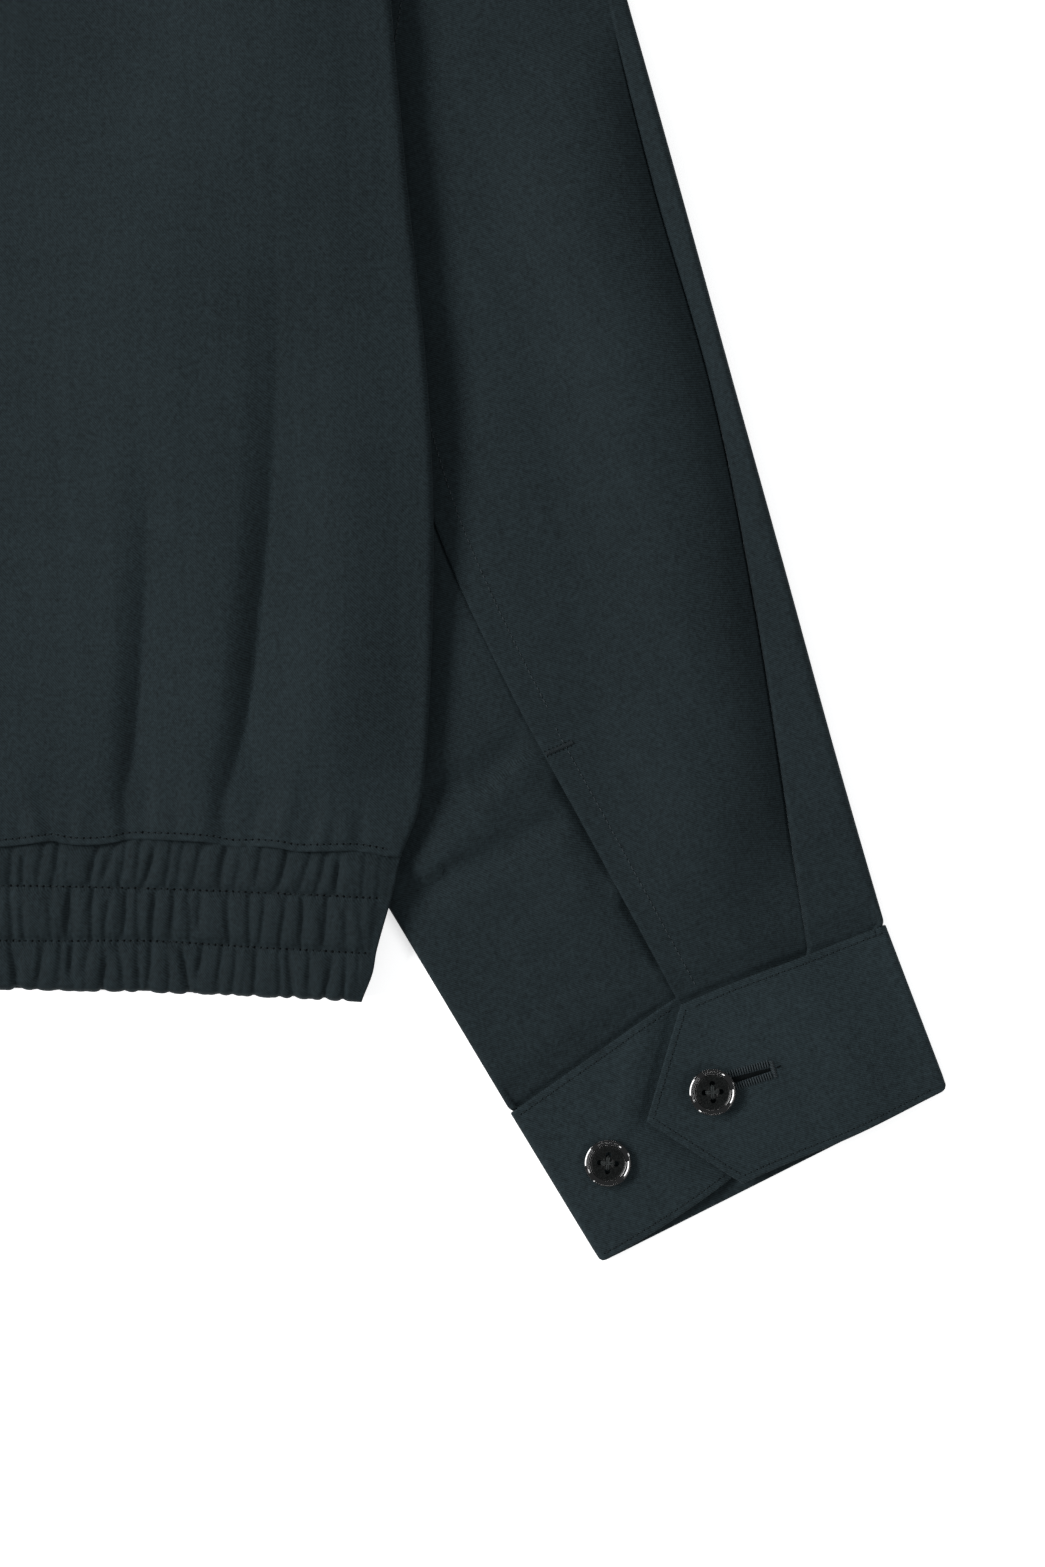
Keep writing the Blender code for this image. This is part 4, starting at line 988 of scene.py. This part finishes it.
def sleeveTopGrid():
    s = stations[:, None]
    start, pleat = curve(sleeveRows, s, seamAt), curve(sleeveRows, s, pleatAt)
    share = spread((0.0, 0.10, 8), (0.10, 0.90, 44), (0.90, 0.993, 14))
    q = start + (pleat - start) * share
    # it falls ever faster towards the pleat, under the raised strip beyond it
    away = (1.0 - share) * (pleat - start) * sleeveWidth(s)
    swell = 0.0074 * (1.0 - np.exp(-away / 0.0105)) * falling(away, 0.020, 0.040)
    hollow = (swell - 0.0018 * falling(away, 0.0, 0.018)) * pleatShare(s, 0.08) - 0.0003 * bell(away, 0.006)
    x, y, z = sleevePoint(s, q, overlapRises, topStep(s) * falling(q - start, 0.16, 0.18))
    drape = sleeveDrape(x, y, s, q, 12) * eased((0.97 - share) / 0.10)
    main = pointsOf(x, y, z + hollow + drape + intoCuff(s) - bodyPress(x, y, s))
    # the strip rises away from the pleat, less so near the cuff
    share = spread((0.0, 0.12, 5), (0.12, 1.0, 12))
    level = 1.0 - 0.72 * (1.0 - share) * (1.0 - 0.9 * rising(s, 0.90, 0.07))
    pleated = np.maximum(sleeve["pleatStep"] * pleatShare(s, 0.42), sleeve["seamStep"] * rising(s, 0.8, 0.1))
    x, y, z = sleevePoint(s, pleat + (1.0 - pleat) * share, overlapRises)
    strip = pointsOf(x, y, z + pleated * level + intoCuff(s))
    end = 3.0 - sleeve["frontSeam"] - body["seamGap"] / sleeve["usualWidth"]
    q = spread((1.2, 2.0, 4), (2.0, end, 12))
    x, y, z = sleevePoint(s, q, overlapRises)
    below = pointsOf(x, y, z + pleated * (1.0 + np.cos(math.pi * np.clip(q - 1.0, 0.0, 1.0))) / 2)
    return np.concatenate((main, strip, below), axis=1)


def dragFolds(x, y):
    # folds that the buttoned cuff drags into the under sleeve, below its opening
    depth = np.zeros_like(x)
    for points, narrow, wide, deep in dragRows:
        for (ax, ay), (bx, by) in zip(points, points[1:]):
            alongX, alongY = bx - ax, by - ay
            size = math.hypot(alongX, alongY)
            t = ((x - ax) * alongX + (y - ay) * alongY) / size**2
            away = ((x - ax) * alongY - (y - ay) * alongX) / size     # positive on the right
            ends = eased((t + 0.25) / 0.3) * eased((1.25 - t) / 0.3)
            line = deep * ends * np.where(away > 0.0, bell(away, narrow), bell(away, wide))
            depth = np.where(np.abs(line) > np.abs(depth), line, depth)
    return depth


def sleeveUnderGrid():
    s = stations[:, None]
    gap = body["seamGap"] + sleeve["capGap"] * falling(s, 0.0, 0.42)
    lap = np.maximum(sleeve["openingLap"] * lapShare(s), gap + 0.0027)
    end = curve(sleeveRows, s, seamAt) + (lap - gap) / sleeveWidth(s)
    q = end * (1.0 - np.linspace(0.0, 1.0, 48))
    x, y, z = sleevePoint(s, q, underlapRises)
    tucked = 0.0006 * eased(1.0 - (end - q) * 30.0) * (2.0 - rising(s, 0.0, 0.15)) * (1.0 - lapShare(s))
    pressed = tucked + 0.7 * bodyPress(x, y, s) + dragFolds(x, y)
    upper = pointsOf(x, y, z + sleeveDrape(x, y, s, q, 33) + intoCuff(s) - pressed)
    frontSeam = sleeve["frontSeam"] - (gap - body["seamGap"]) / sleeveWidth(s)
    turned = pointsOf(*sleevePoint(s, np.linspace(-0.2, -0.8, 4), underlapRises))
    below = pointsOf(*sleevePoint(s, -1.0 - frontSeam * np.linspace(0.0, 1.0, 8), underlapRises))
    return np.concatenate((upper, turned, below), axis=1)


tops, unders = {}, {}
topGrid, underGrid = sleeveTopGrid(), sleeveUnderGrid()
for side, word in sides:
    name, node = f"sleeve_top_{word}_cloth", f"sleeve_top_{word}"
    tops[side] = clothShell(name, node, onSide(topGrid, side), sleeveTwill[side], -1.0, (5, 1))
    name, node = f"sleeve_under_{word}_cloth", f"sleeve_under_{word}"
    unders[side] = clothShell(name, node, onSide(underGrid, side), sleeveTwill[side], 1.0, (2, 1))
print("sleeves made")


def cuffN(e, h, rises=None):
    rise = 0.0 if rises is None else curve(rises, e, 1) * (1.0 - h) + curve(rises, e, 2) * h
    return cuff["seamGap"] + (cuff["depth"] - cuff["seamGap"]) * h - rise


def cuffGrid():
    radius = cuff["layer"] / 2
    low = cloth["bandWall"] / 2
    high = low + cuff["layer"]
    h = spread((0.0, 0.06, 9), (0.06, 0.94, 44), (0.94, 1.0, 9))[:, None]
    nearStart = cuff["taper"][0] * h + radius
    nearEnd = cuff["topWidth"] - cuff["taper"][1] * h - radius
    tip = np.interp(h, tipEnds[:, 0], tipEnds[:, 1])

    def layer(e, z, rises=None):
        # the outer corners of the lower edge are a little round
        into = np.minimum(e - nearStart + radius, nearEnd + radius - e)
        short = np.clip(cuff["corner"] - into, 0.0, cuff["corner"])
        cut = cuff["corner"] - np.sqrt(cuff["corner"] ** 2 - short**2)
        x, y = cuffSpot(e, cuffN(e, h, rises) - cut * rising(h, 0.90, 0.10))
        return pointsOf(x, y, z)

    e = cuff["underlapEnd"] + (nearStart - cuff["underlapEnd"]) * np.linspace(0.0, 1.0, 70)
    soft = 0.0003 * np.sin(e * 90.0 + 0.4) * np.sin(math.pi * h)
    soft += 0.0007 * bell(e - tip + 0.0120, 0.0065) - 0.0006 * bell(e - tip, 0.0060)
    underlap = layer(e, high + soft, underlapRises)
    turn = np.array((0.2, 0.4, 0.6, 0.8)) * math.pi
    away, turnZ = radius * np.sin(turn), low + radius + radius * np.cos(turn)
    share = spread((0.0, 0.90, 92), (0.90, 1.0, 18))
    e = nearEnd + (tip - nearEnd) * share
    soft = (0.0005 * np.sin(e * 70.0 + 1.0) + 0.0002 * np.sin(e * 160.0 + 5.0 * h)) * np.sin(math.pi * h)
    soft *= rising(share, 0.02, 0.1) * eased((1.0 - share) / 0.15)
    overlap = layer(e, high + cuff["overlapStep"] * eased((0.120 - e) / 0.026) + soft, overlapRises)
    return np.concatenate((
        underlap,
        layer(nearStart - away, turnZ),
        layer(nearStart + (nearEnd - nearStart) * np.linspace(0.0, 1.0, 26), low),
        layer(nearEnd + away[::-1], turnZ[::-1]),
        overlap,
    ), axis=1)


cuffs = {}
grid = cuffGrid()
for side, word in sides:
    name, node = f"cuff_{word}_cloth", f"cuff_{word}"
    cuffs[side] = clothShell(name, node, onSide(grid, side), cuffTwillLit[side], 1.0, (4, 4), cloth["bandWall"])
print("cuffs made")

collar = {
    "height": 0.045,
    "taper": 0.006,
    "layer": 0.0026,
    "frontGap": 0.0010,
    "gap": 0.0006,
    "inset": 0.0012,
}


def collarGrid():
    # the right half, its front first, and then its mirror image
    radius = collar["layer"] / 2
    low = cloth["collarWall"] / 2
    high = low + collar["layer"]
    v = np.linspace(0.0, 1.0, 30)[:, None]
    half = body["neckHalf"] - collar["inset"] - collar["taper"] * v
    rise = collar["height"] * v + collar["gap"]
    crown = 0.0012 * (0.4 + 0.6 * v)
    x = collar["frontGap"] + (half - radius - collar["frontGap"]) * np.linspace(0.0, 1.0, 34)
    neck = topY(x / half * body["neckHalf"], body["frontNeck"])
    front = pointsOf(x, neck + rise, low + (frontZ(x, neck) - cloth["wall"] / 2) * (1.0 - eased(v)))
    turn = np.array((0.8, 0.6, 0.4, 0.2)) * math.pi
    x = half - radius + radius * np.sin(turn)
    fold = pointsOf(x, body["neckSide"] + rise, low + radius + radius * np.cos(turn))
    share = np.linspace(1.0, 0.0, 35)
    x = (half - radius) * share
    neck = topY(x / half * body["neckHalf"], body["backNeck"])
    backPart = pointsOf(x, neck + rise, high + crown * (1.0 - share**2))
    rightHalf = np.concatenate((front, fold, backPart), axis=1)
    return np.concatenate((rightHalf, mirrored(rightHalf)[:, 1:]), axis=1)


collarPiece = clothShell("stand_collar", "collar", collarGrid(), collarTwill,
                         -1.0, (3, 3), cloth["collarWall"])
print("collar made")


def ringOf(place, first, second, size, around):
    # points round a place, in the plane of two directions
    turns = [2 * math.pi * m / around for m in range(around)]
    return [place + (first * math.cos(turn) + second * math.sin(turn)) * size for turn in turns]


def tubeFaces(base, steps, around):
    # the faces of a closed tube of rings, whose points follow one another from a first one
    faces = []
    for low in range(base, base + steps * around, around):
        for m in range(around):
            n = (m + 1) % around
            faces.append((low + m, low + n, low + around + n, low + around + m))
    top = base + steps * around
    return faces + [tuple(range(base, base + around))[::-1], tuple(range(top, top + around))]


# the second look is painted shade for needle holes and the buttonhole's slit
seen, paintedShade, pale, tacked = range(4)     # the looks of a stitch, in the order of Sewing's materials


class Sewing:
    # gathers the stitches of one piece into one mesh
    def __init__(self, piece, side=1, fromBelow=False):
        faces = [tuple(face.vertices) for face in piece.data.polygons]
        self.tree = BVHTree.FromPolygons([v.co.copy() for v in piece.data.vertices], faces)
        self.side = side
        self.up = Vector((0.0, 0.0, -1.0 if fromBelow else 1.0))
        self.verts, self.faces, self.kinds = [], [], []
        self.draw = np.random.default_rng(len(piece.data.vertices))

    def spot(self, x, y):
        # the piece's surface there and its normal, facing out
        start = Vector((self.side * x, y - frameShift, 0.1 * self.up.z))
        place, normal, _, _ = self.tree.ray_cast(start, -self.up)
        if place is not None and normal.z * self.up.z < 0:
            normal = -normal
        return place, normal

    def add(self, faces, kind):
        self.faces += faces
        self.kinds += [kind] * len(faces)

    def bar(self, a, b, radius, proud, sunk, kind=seen, steps=4, around=6):
        spots = []
        for k in range(steps + 1):
            t = k / steps
            place, normal = self.spot(a[0] + (b[0] - a[0]) * t, a[1] + (b[1] - a[1]) * t)
            if place is None:
                return
            spots.append(place + normal * ((proud + sunk) * math.sin(math.pi * t) ** 0.6 - sunk))
        across = (spots[-1] - spots[0]).normalized().cross(self.up).normalized()
        self.add(tubeFaces(len(self.verts), steps, around), kind)
        for k, place in enumerate(spots):
            size = radius * (0.72 + 0.28 * math.sin(math.pi * k / steps))
            self.verts += ringOf(place, across, self.up, size, around)

    def hole(self, x, y, size):
        # a tiny near-black disc and pit at a needle hole: painted shade
        place, normal = self.spot(x, y)
        if place is None:
            return
        edge = normal.orthogonal().normalized()
        base = len(self.verts)
        self.verts += ringOf(place + normal * 0.00003, edge, normal.cross(edge), size, 6)
        self.verts += [place + normal * 0.00006, place - normal * 0.00015]
        for m in range(6):
            n = (m + 1) % 6
            self.add([(base + m, base + n, base + 6), (base + n, base + m, base + 7)], paintedShade)

    def line(self, x, y, holes=0.00026, radius=stitch["radius"], kind=seen):
        x, y = np.broadcast_arrays(x, y)
        total = np.concatenate(([0.0], np.cumsum(np.hypot(np.diff(x), np.diff(y)))))
        for k in range(int(total[-1] / stitch["pitch"])):
            at = (k + 0.5) * stitch["pitch"] + self.draw.uniform(-0.00008, 0.00008)
            ends = [at - stitch["length"] / 2, at + stitch["length"] / 2]
            xs, ys = np.interp(ends, total, x), np.interp(ends, total, y)
            lean = self.side * self.draw.uniform(-0.04, 0.04)
            leanX, leanY = (ys[0] - ys[1]) * lean, (xs[1] - xs[0]) * lean
            thick = radius * self.draw.uniform(0.9, 1.1)
            self.bar((xs[0] - leanX, ys[0] - leanY), (xs[1] + leanX, ys[1] + leanY), thick,
                     stitch["proud"], stitch["sunk"], kind)
            at = k * stitch["pitch"]
            self.hole(np.interp(at, total, x), np.interp(at, total, y), holes * self.draw.uniform(0.85, 1.15))

    def made(self, name):
        piece = makeObject(name, self.verts, self.faces, [thread, paintedHoleShade, lightThread, tackThread])
        piece.data.polygons.foreach_set("material_index", self.kinds)
        faceOut(piece.data)
        print(f"{name}: {len(self.faces)} faces")
        return settle(piece, "shell_cloth")


# the body's topstitching over the band
sewing = Sewing(back)
x = np.linspace(-0.2735, 0.2735, 400)
sewing.line(x, backSeamY(x) - body["hemLap"] + backPanel["topstitch"], 0.00035)
sewing.made("topstitch_back_hem")

# the band's rows that part its channels
sewing = Sewing(bandBack)
for r in hemBand["stitchRows"]:
    edge = float(bandEdge(r, 0.0)) - 0.0008
    x = np.linspace(-edge, edge, 400)
    sewing.line(x, backBandY(x, r), 0.00040)
bandSewing = sewing.made("stitch_rows_hem_band_back")

for side, word in sides:
    sewing = Sewing(bandFronts[side], side, fromBelow=True)
    for r in hemBand["stitchRows"]:
        x = np.linspace(0.012, float(bandEdge(r, 0.0004)) - 0.0008, 200)
        sewing.line(x, bandY(x, r, seamY))
    sewing.made(f"stitch_rows_hem_band_front_{word}")
    sewing = Sewing(fronts[side], side, fromBelow=True)
    x = np.linspace(0.012, 0.268, 200)
    sewing.line(x, seamY(x) + 0.0020)
    sewing.line(0.0120, np.linspace(0.048, 0.552, 200))
    sewing.made(f"topstitch_front_{word}")


def sewSleeve(side, word):
    sewing = Sewing(tops[side], side)
    for start, end, count, inset in (
        (0.24, sleeve["openingStart"] - 0.004, 200, sleeve["topstitch"]),
        (sleeve["openingStart"] + 0.006, 0.997, 120, sleeve["openingStitch"]),
    ):
        s = np.linspace(start, end, count)
        x, y, _ = sleevePoint(s, curve(sleeveRows, s, seamAt) + inset / sleeveWidth(s), overlapRises)
        sewing.line(x, y, 0.00018, 0.00019, pale)
    # bar tack at the top of the opening, square to its edge
    at = np.array([sleeve["tackAt"]])
    x, y, _ = sleevePoint(at, curve(sleeveRows, at, seamAt) + 0.0004 / sleeveWidth(at), overlapRises)
    first = np.array((x[0], y[0]))
    for k in range(40):
        middle = first + np.array((0.00021, 0.000092)) * k
        tip = np.array((0.00035, -0.00070)) * (1.0 if k % 2 else 0.92)
        sewing.bar(middle - tip, middle + tip, 0.00019, 0.00030, 0.0001, tacked)
    for way in (-1, 1):
        edge = first + way * np.array((0.00042, -0.00084))
        for k in range(7):
            sewing.hole(edge[0] + 0.00125 * k, edge[1] + 0.00055 * k, 0.00022)
    sewing.made(f"topstitch_sleeve_{word}")


def sewCuff(side, word):
    sewing = Sewing(cuffs[side], side)
    inset = cuff["topstitch"]
    high, low = inset / cuff["depth"], 1.0 - inset / cuff["depth"]
    # round the overlap: along its seam, down both sides of the point, along its lower edge
    routes = [(np.linspace(0.1285, 0.0632 + inset, 90), high, overlapRises)]
    for start, end, lean in ((high, cuff["tipAt"], 0.62), (cuff["tipAt"], low, 0.60)):
        h = np.linspace(start, end, 60)
        e = np.interp(h, tipEnds[:, 0], tipEnds[:, 1]) + inset * (1.0 + lean * 0.35)
        routes.append((e, h, overlapRises))
    routes.append((np.linspace(0.0545 + inset, 0.1225, 90), low, overlapRises))
    # along the underlap's seam and lower edge, as far as the overlap covers it
    routes.append((np.linspace(0.0022, 0.0600, 80), high, underlapRises))
    routes.append((np.linspace(0.0060, 0.0520, 80), low, underlapRises))
    for e, h, rises in routes:
        sewing.line(*cuffSpot(e, cuffN(e, h, rises)), 0.00024)
    sewing.made(f"topstitch_cuff_{word}")


for side, word in sides:
    sewSleeve(side, word)
    sewCuff(side, word)
print("sewing made")

button = {
    "radius": 0.0073,
    "thick": 0.0028,
    "holeRadius": 0.00088,
    "holeAt": 0.0026,
    "face": 0.735,            # share of the radius inside the rim
    "sides": 96,
}
# name, along the cuff, down it, height of its underside, turn
buttonRows = (
    ("closed", 0.0588, 0.0224, 0.00700, math.radians(3.5)),
    ("spare", 0.0196, 0.0278, 0.00410, math.radians(-4.0)),
)

# the turned face, from the centre out, as shares of the radius and the thickness
buttonProfile = (
    (0.00, 0.60), (0.12, 0.60), (0.19, 0.57), (0.24, 0.52), (0.30, 0.50), (0.42, 0.49), (0.56, 0.50),
    (0.66, 0.52), (0.71, 0.54), (0.735, 0.57), (0.755, 0.65), (0.77, 0.695), (0.785, 0.712), (0.81, 0.716),
    (0.835, 0.716), (0.845, 0.72), (0.853, 0.731), (0.864, 0.746), (0.886, 0.777), (0.897, 0.792),
    (0.905, 0.803), (0.915, 0.808), (0.925, 0.808), (0.935, 0.803), (0.943, 0.792), (0.953, 0.778),
    (0.972, 0.752), (0.982, 0.738), (0.99, 0.727), (0.997, 0.705), (1.00, 0.66), (1.00, 0.42),
    (0.975, 0.26), (0.90, 0.13), (0.78, 0.02), (0.70, 0.00), (0.00, 0.00),
)


def turnMatrix(turn, place):
    return Matrix.Translation(place) @ Matrix.Rotation(turn, 4, "Z")


def turnedButton(name, place, turn):
    count, thick = button["sides"], button["thick"]
    verts, faces, rings = [], [], []
    for share, height in buttonProfile:
        rings.append([])
        for m in range(count if share else 1):
            angle = 2 * math.pi * m / count
            petal = 0.035 * math.cos(4 * angle) * math.sin(math.pi * share / 0.60) if share <= 0.56 else 0.0
            out = share * button["radius"]
            rings[-1].append(len(verts))
            verts.append((out * math.cos(angle), out * math.sin(angle), (height - petal) * thick))
    for low, high in zip(rings, rings[1:]):
        for m in range(count):
            n = (m + 1) % count
            loop = (low[m % len(low)], high[m % len(high)], high[n % len(high)], low[n % len(low)])
            faces.append(tuple(dict.fromkeys(loop)))     # without a centre's repeat
    made = makeObject(name, verts, faces, [plastic, stippled])
    faceOut(made.data)
    cutters = []
    for k in range(4):
        angle = k * math.pi / 2
        spot = (button["holeAt"] * math.cos(angle), button["holeAt"] * math.sin(angle), 0.001)
        bpy.ops.mesh.primitive_cylinder_add(
            vertices=20, radius=button["holeRadius"], depth=0.012, location=spot)
        cutters.append(bpy.context.object)
        cut = made.modifiers.new(f"hole{k}", "BOOLEAN")
        cut.object = cutters[-1]
        cut.operation = "DIFFERENCE"
        cut.solver = "EXACT"
    bpy.context.view_layer.update()
    drilled = bpy.data.meshes.new_from_object(made.evaluated_get(bpy.context.evaluated_depsgraph_get()))
    made.modifiers.clear()
    made.data = drilled
    for face in drilled.polygons:
        inside = math.hypot(face.center.x, face.center.y) < button["face"] * button["radius"]
        face.material_index = 1 if inside and face.center.z > 0.4 * thick else 0
    for drill in cutters:
        bpy.data.objects.remove(drill)
    bm = bmesh.new()
    bm.from_mesh(drilled)
    bmesh.ops.remove_doubles(bm, verts=bm.verts, dist=1e-6)
    bmesh.ops.holes_fill(bm, edges=[edge for edge in bm.edges if edge.is_boundary], sides=6)
    bm.to_mesh(drilled)
    bm.free()
    drilled.shade_smooth()
    drilled.set_sharp_from_angle(angle=math.radians(38))
    drilled.transform(turnMatrix(turn, place))
    return made


def buttonThread(name, place, turn):
    # four short runs that dive from the middle into the holes, over a dark shank below
    verts, faces = [], []

    def tube(points, radius, around=8):
        faces.extend(tubeFaces(len(verts), len(points) - 1, around))
        for k, p in enumerate(points):
            ahead = (points[min(k + 1, len(points) - 1)] - points[max(k - 1, 0)]).normalized()
            edge = ahead.orthogonal().normalized()
            verts.extend(ringOf(p, edge, ahead.cross(edge), radius, around))

    top = button["thick"] * 0.58
    # share of the way out to the hole, how far the two strands stand apart, height
    run = ((0.78, 0.8, -0.0012), (0.78, 0.8, top - 0.0005), (0.66, 1.2, top + 0.00002),
           (0.36, 1.2, top + 0.00022), (0.0, 0.5, top + 0.00026))
    for k in range(4):
        angle = k * math.pi / 2
        out = Vector((math.cos(angle), math.sin(angle), 0.0)) * button["holeAt"]
        apart = Vector((-math.sin(angle), math.cos(angle), 0.0)) * 0.00025
        for way in (-1, 1):
            tube([out * far + apart * way * beside + Vector((0, 0, z)) for far, beside, z in run], 0.00026)
    tube([Vector((0, 0, -0.0016)), Vector((0, 0, 0.0004))], 0.0022, 14)
    made = makeObject(name, verts, faces, [buttonThreadLook])
    made.data.transform(turnMatrix(turn, place))
    return made


for side, word in sides:
    for rowName, e, n, z, turn in buttonRows:
        x, y = cuffSpot(e, n)
        place = Vector((side * x, y - frameShift, z))
        name = f"button_{word}_{rowName}"
        settle(turnedButton(f"{name}_turned", place, side * turn), "button_plastic", name)
        settle(buttonThread(f"{name}_thread", place, side * turn), "shell_cloth")


def buttonhole(side, word):
    # a straight one: bars square to the slit on both sides, and a tack across its far end
    sewing = Sewing(cuffs[side], side)
    (startE, startN), (endE, endN) = cuff["buttonhole"]
    size = math.hypot(endE - startE, endN - startN)
    alongE, alongN = (endE - startE) / size, (endN - startN) / size

    def spot(along, beside):
        return cuffSpot(startE + alongE * along - alongN * beside, startN + alongN * along + alongE * beside)

    count = int(size / 0.00080)
    for k in range(count):
        along = size * (k + 0.3) / count
        for way in (-1, 1):
            near = 0.00088 - 0.0003 * along / size
            sewing.bar(spot(along, way * near), spot(along + 0.0001, way * (near + 0.0026)),
                       0.00024, 0.00036, 0.00010, pale, 5)
    for k in range(11):
        across = -0.0025 + 0.0005 * k
        sewing.bar(spot(size + 0.0001, across), spot(size + 0.0016, across + 0.0002),
                   0.00024, 0.00034, 0.00010, pale, 5)
    # the slit between the bars and a short pull beyond the tack, both painted near-black as shade
    steps = 24
    base = len(sewing.verts)
    for k in range(steps + 1):
        t = k / steps
        half = 0.00105 * (1.0 - 0.60 * t) + 0.00008
        for way in (-1, 1):
            place, _ = sewing.spot(*spot(size * 0.995 * t, way * half))
            sewing.verts += [place + Vector((0, 0, 0.00006)), place - Vector((0, 0, 0.00015))]
    for a in range(base, base + 4 * steps, 4):
        b = a + 4
        sewing.add([(a, b, b + 2, a + 2), (a + 1, a + 3, b + 3, b + 1), (a, a + 1, b + 1, b),
                    (a + 2, b + 2, b + 3, a + 3)], paintedShade)
    sewing.add([(base, base + 2, base + 3, base + 1), (b, b + 1, b + 3, b + 2)], paintedShade)
    sewing.bar(spot(size + 0.0018, 0.0001), spot(size + 0.0034, -0.0002),
               0.00028, 0.00002, 0.00012, paintedShade, 5)
    return sewing.made(f"buttonhole_{word}")


for side, word in sides:
    buttonhole(side, word)
print("buttons and buttonholes made")


def zipTape(side, word):
    y = np.linspace(0.0020, zipParts["top"], 150)[:, None]
    x = np.linspace(zipParts["tapeInner"], zipParts["tapeOuter"], 7)
    points = onSide(pointsOf(x, y, cloth["wall"] / 2 + zipLift(y)), side)
    ribs = np.broadcast_to(0.00008 * np.cos(x / 0.0007 * math.pi), points.shape[:2])
    name, node = f"zip_tape_{word}_woven", f"zip_tape_{word}"
    return clothShell(name, node, points, tapeTwill, -1.0, (2, 1), zipParts["tapeWall"], ribs)


def zipTeeth():
    # teeth from both sides, each a bevelled block with a rounded head, meshed together
    verts, faces = [], []
    shape = ((-0.0020, -0.00055), (0.0004, -0.00050), (0.0010, -0.00034), (0.0012, 0.0),
             (0.0010, 0.00034), (0.0004, 0.00050), (-0.0020, 0.00055))
    layers = ((-0.00088, 0.82), (-0.00062, 1.0), (0.00062, 1.0), (0.00088, 0.82))
    for k in range(int((zipParts["sliderY"] - 0.006) / zipParts["toothPitch"] * 2)):
        way = 1 if k % 2 else -1
        y = 0.004 + k * zipParts["toothPitch"] / 2
        z = cloth["wall"] / 2 + float(zipLift(np.array(y)))
        faces += [face[::way] for face in tubeFaces(len(verts), len(layers) - 1, len(shape))]
        for half, shrink in layers:
            for px, py in shape:
                verts.append((way * px * (0.94 + 0.06 * shrink), y - frameShift + py * shrink, z + half))
    return makeObject("zip_teeth", verts, faces, [darkMetal("zip_teeth_metal")], smooth=False)


tapes = {side: zipTape(side, word) for side, word in sides}
settle(zipTeeth(), "zip_metal", "zip_chain")
for node in ("zip_slider", "zip_pull"):
    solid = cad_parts[node]
    solid.data.materials.clear()
    solid.data.materials.append(darkMetal(f"{node}_metal"))
print("zip made")

studio = {
    "camera": (0.3133, -0.2369, 1.162),
    "lens": 85.0,
    "aim": (0.2, -0.1, 0.0),  # of every light
    "skyColour": (0.94, 0.97, 1.0, 1.0),
    "skyStrength": 0.16,
    "tableGlow": 0.6,         # a table lit from below
}
# soft boxes: name, place, width and depth, watts
boxRows = (
    ("left_box", (-1.9, 0.3, 1.5), (2.4, 0.8), 92.0),
    ("right_box", (2.1, -0.7, 1.7), (2.4, 0.5), 21.0),
    ("far_strip", (0.2, 2.3, 1.5), (2.6, 0.10), 9.0),
    ("near_strip", (0.2, -2.5, 1.5), (2.6, 0.10), 9.0),
)

bpy.ops.mesh.primitive_plane_add(size=12.0, location=(0.0, 0.0, -0.0002))
floor = bpy.context.object
floor.name = "floor"
paper = speckled("floor_paper", 40.0, (0.95, 0.95, 0.95), (0.98, 0.98, 0.98), {
    "Roughness": 0.9,
    "Specular IOR Level": 0.1,
    "Emission Color": (1.0, 1.0, 1.0, 1.0),
    "Emission Strength": studio["tableGlow"],
})
floor.data.materials.append(paper)

world = bpy.data.worlds.new("studio")
bpy.context.scene.world = world
world.use_nodes = True
world.node_tree.nodes["Background"].inputs["Color"].default_value = studio["skyColour"]
world.node_tree.nodes["Background"].inputs["Strength"].default_value = studio["skyStrength"]

for name, place, size, power in boxRows:
    light = bpy.data.lights.new(name, "AREA")
    light.shape = "RECTANGLE"
    light.size, light.size_y = size
    light.energy = power
    made = bpy.data.objects.new(name, light)
    made.location = place
    made.rotation_euler = (Vector(studio["aim"]) - Vector(place)).to_track_quat("-Z", "Y").to_euler()
    bpy.context.scene.collection.objects.link(made)

camera = bpy.data.cameras.new("camera")
camera.lens = studio["lens"]
camera.sensor_width = 36.0
camera.clip_start, camera.clip_end = 0.01, 50.0
viewer = bpy.data.objects.new("camera", camera)
viewer.location = studio["camera"]
bpy.context.scene.collection.objects.link(viewer)
bpy.context.scene.camera = viewer
bpy.context.scene.view_settings.view_transform = "Standard"
print("studio made")
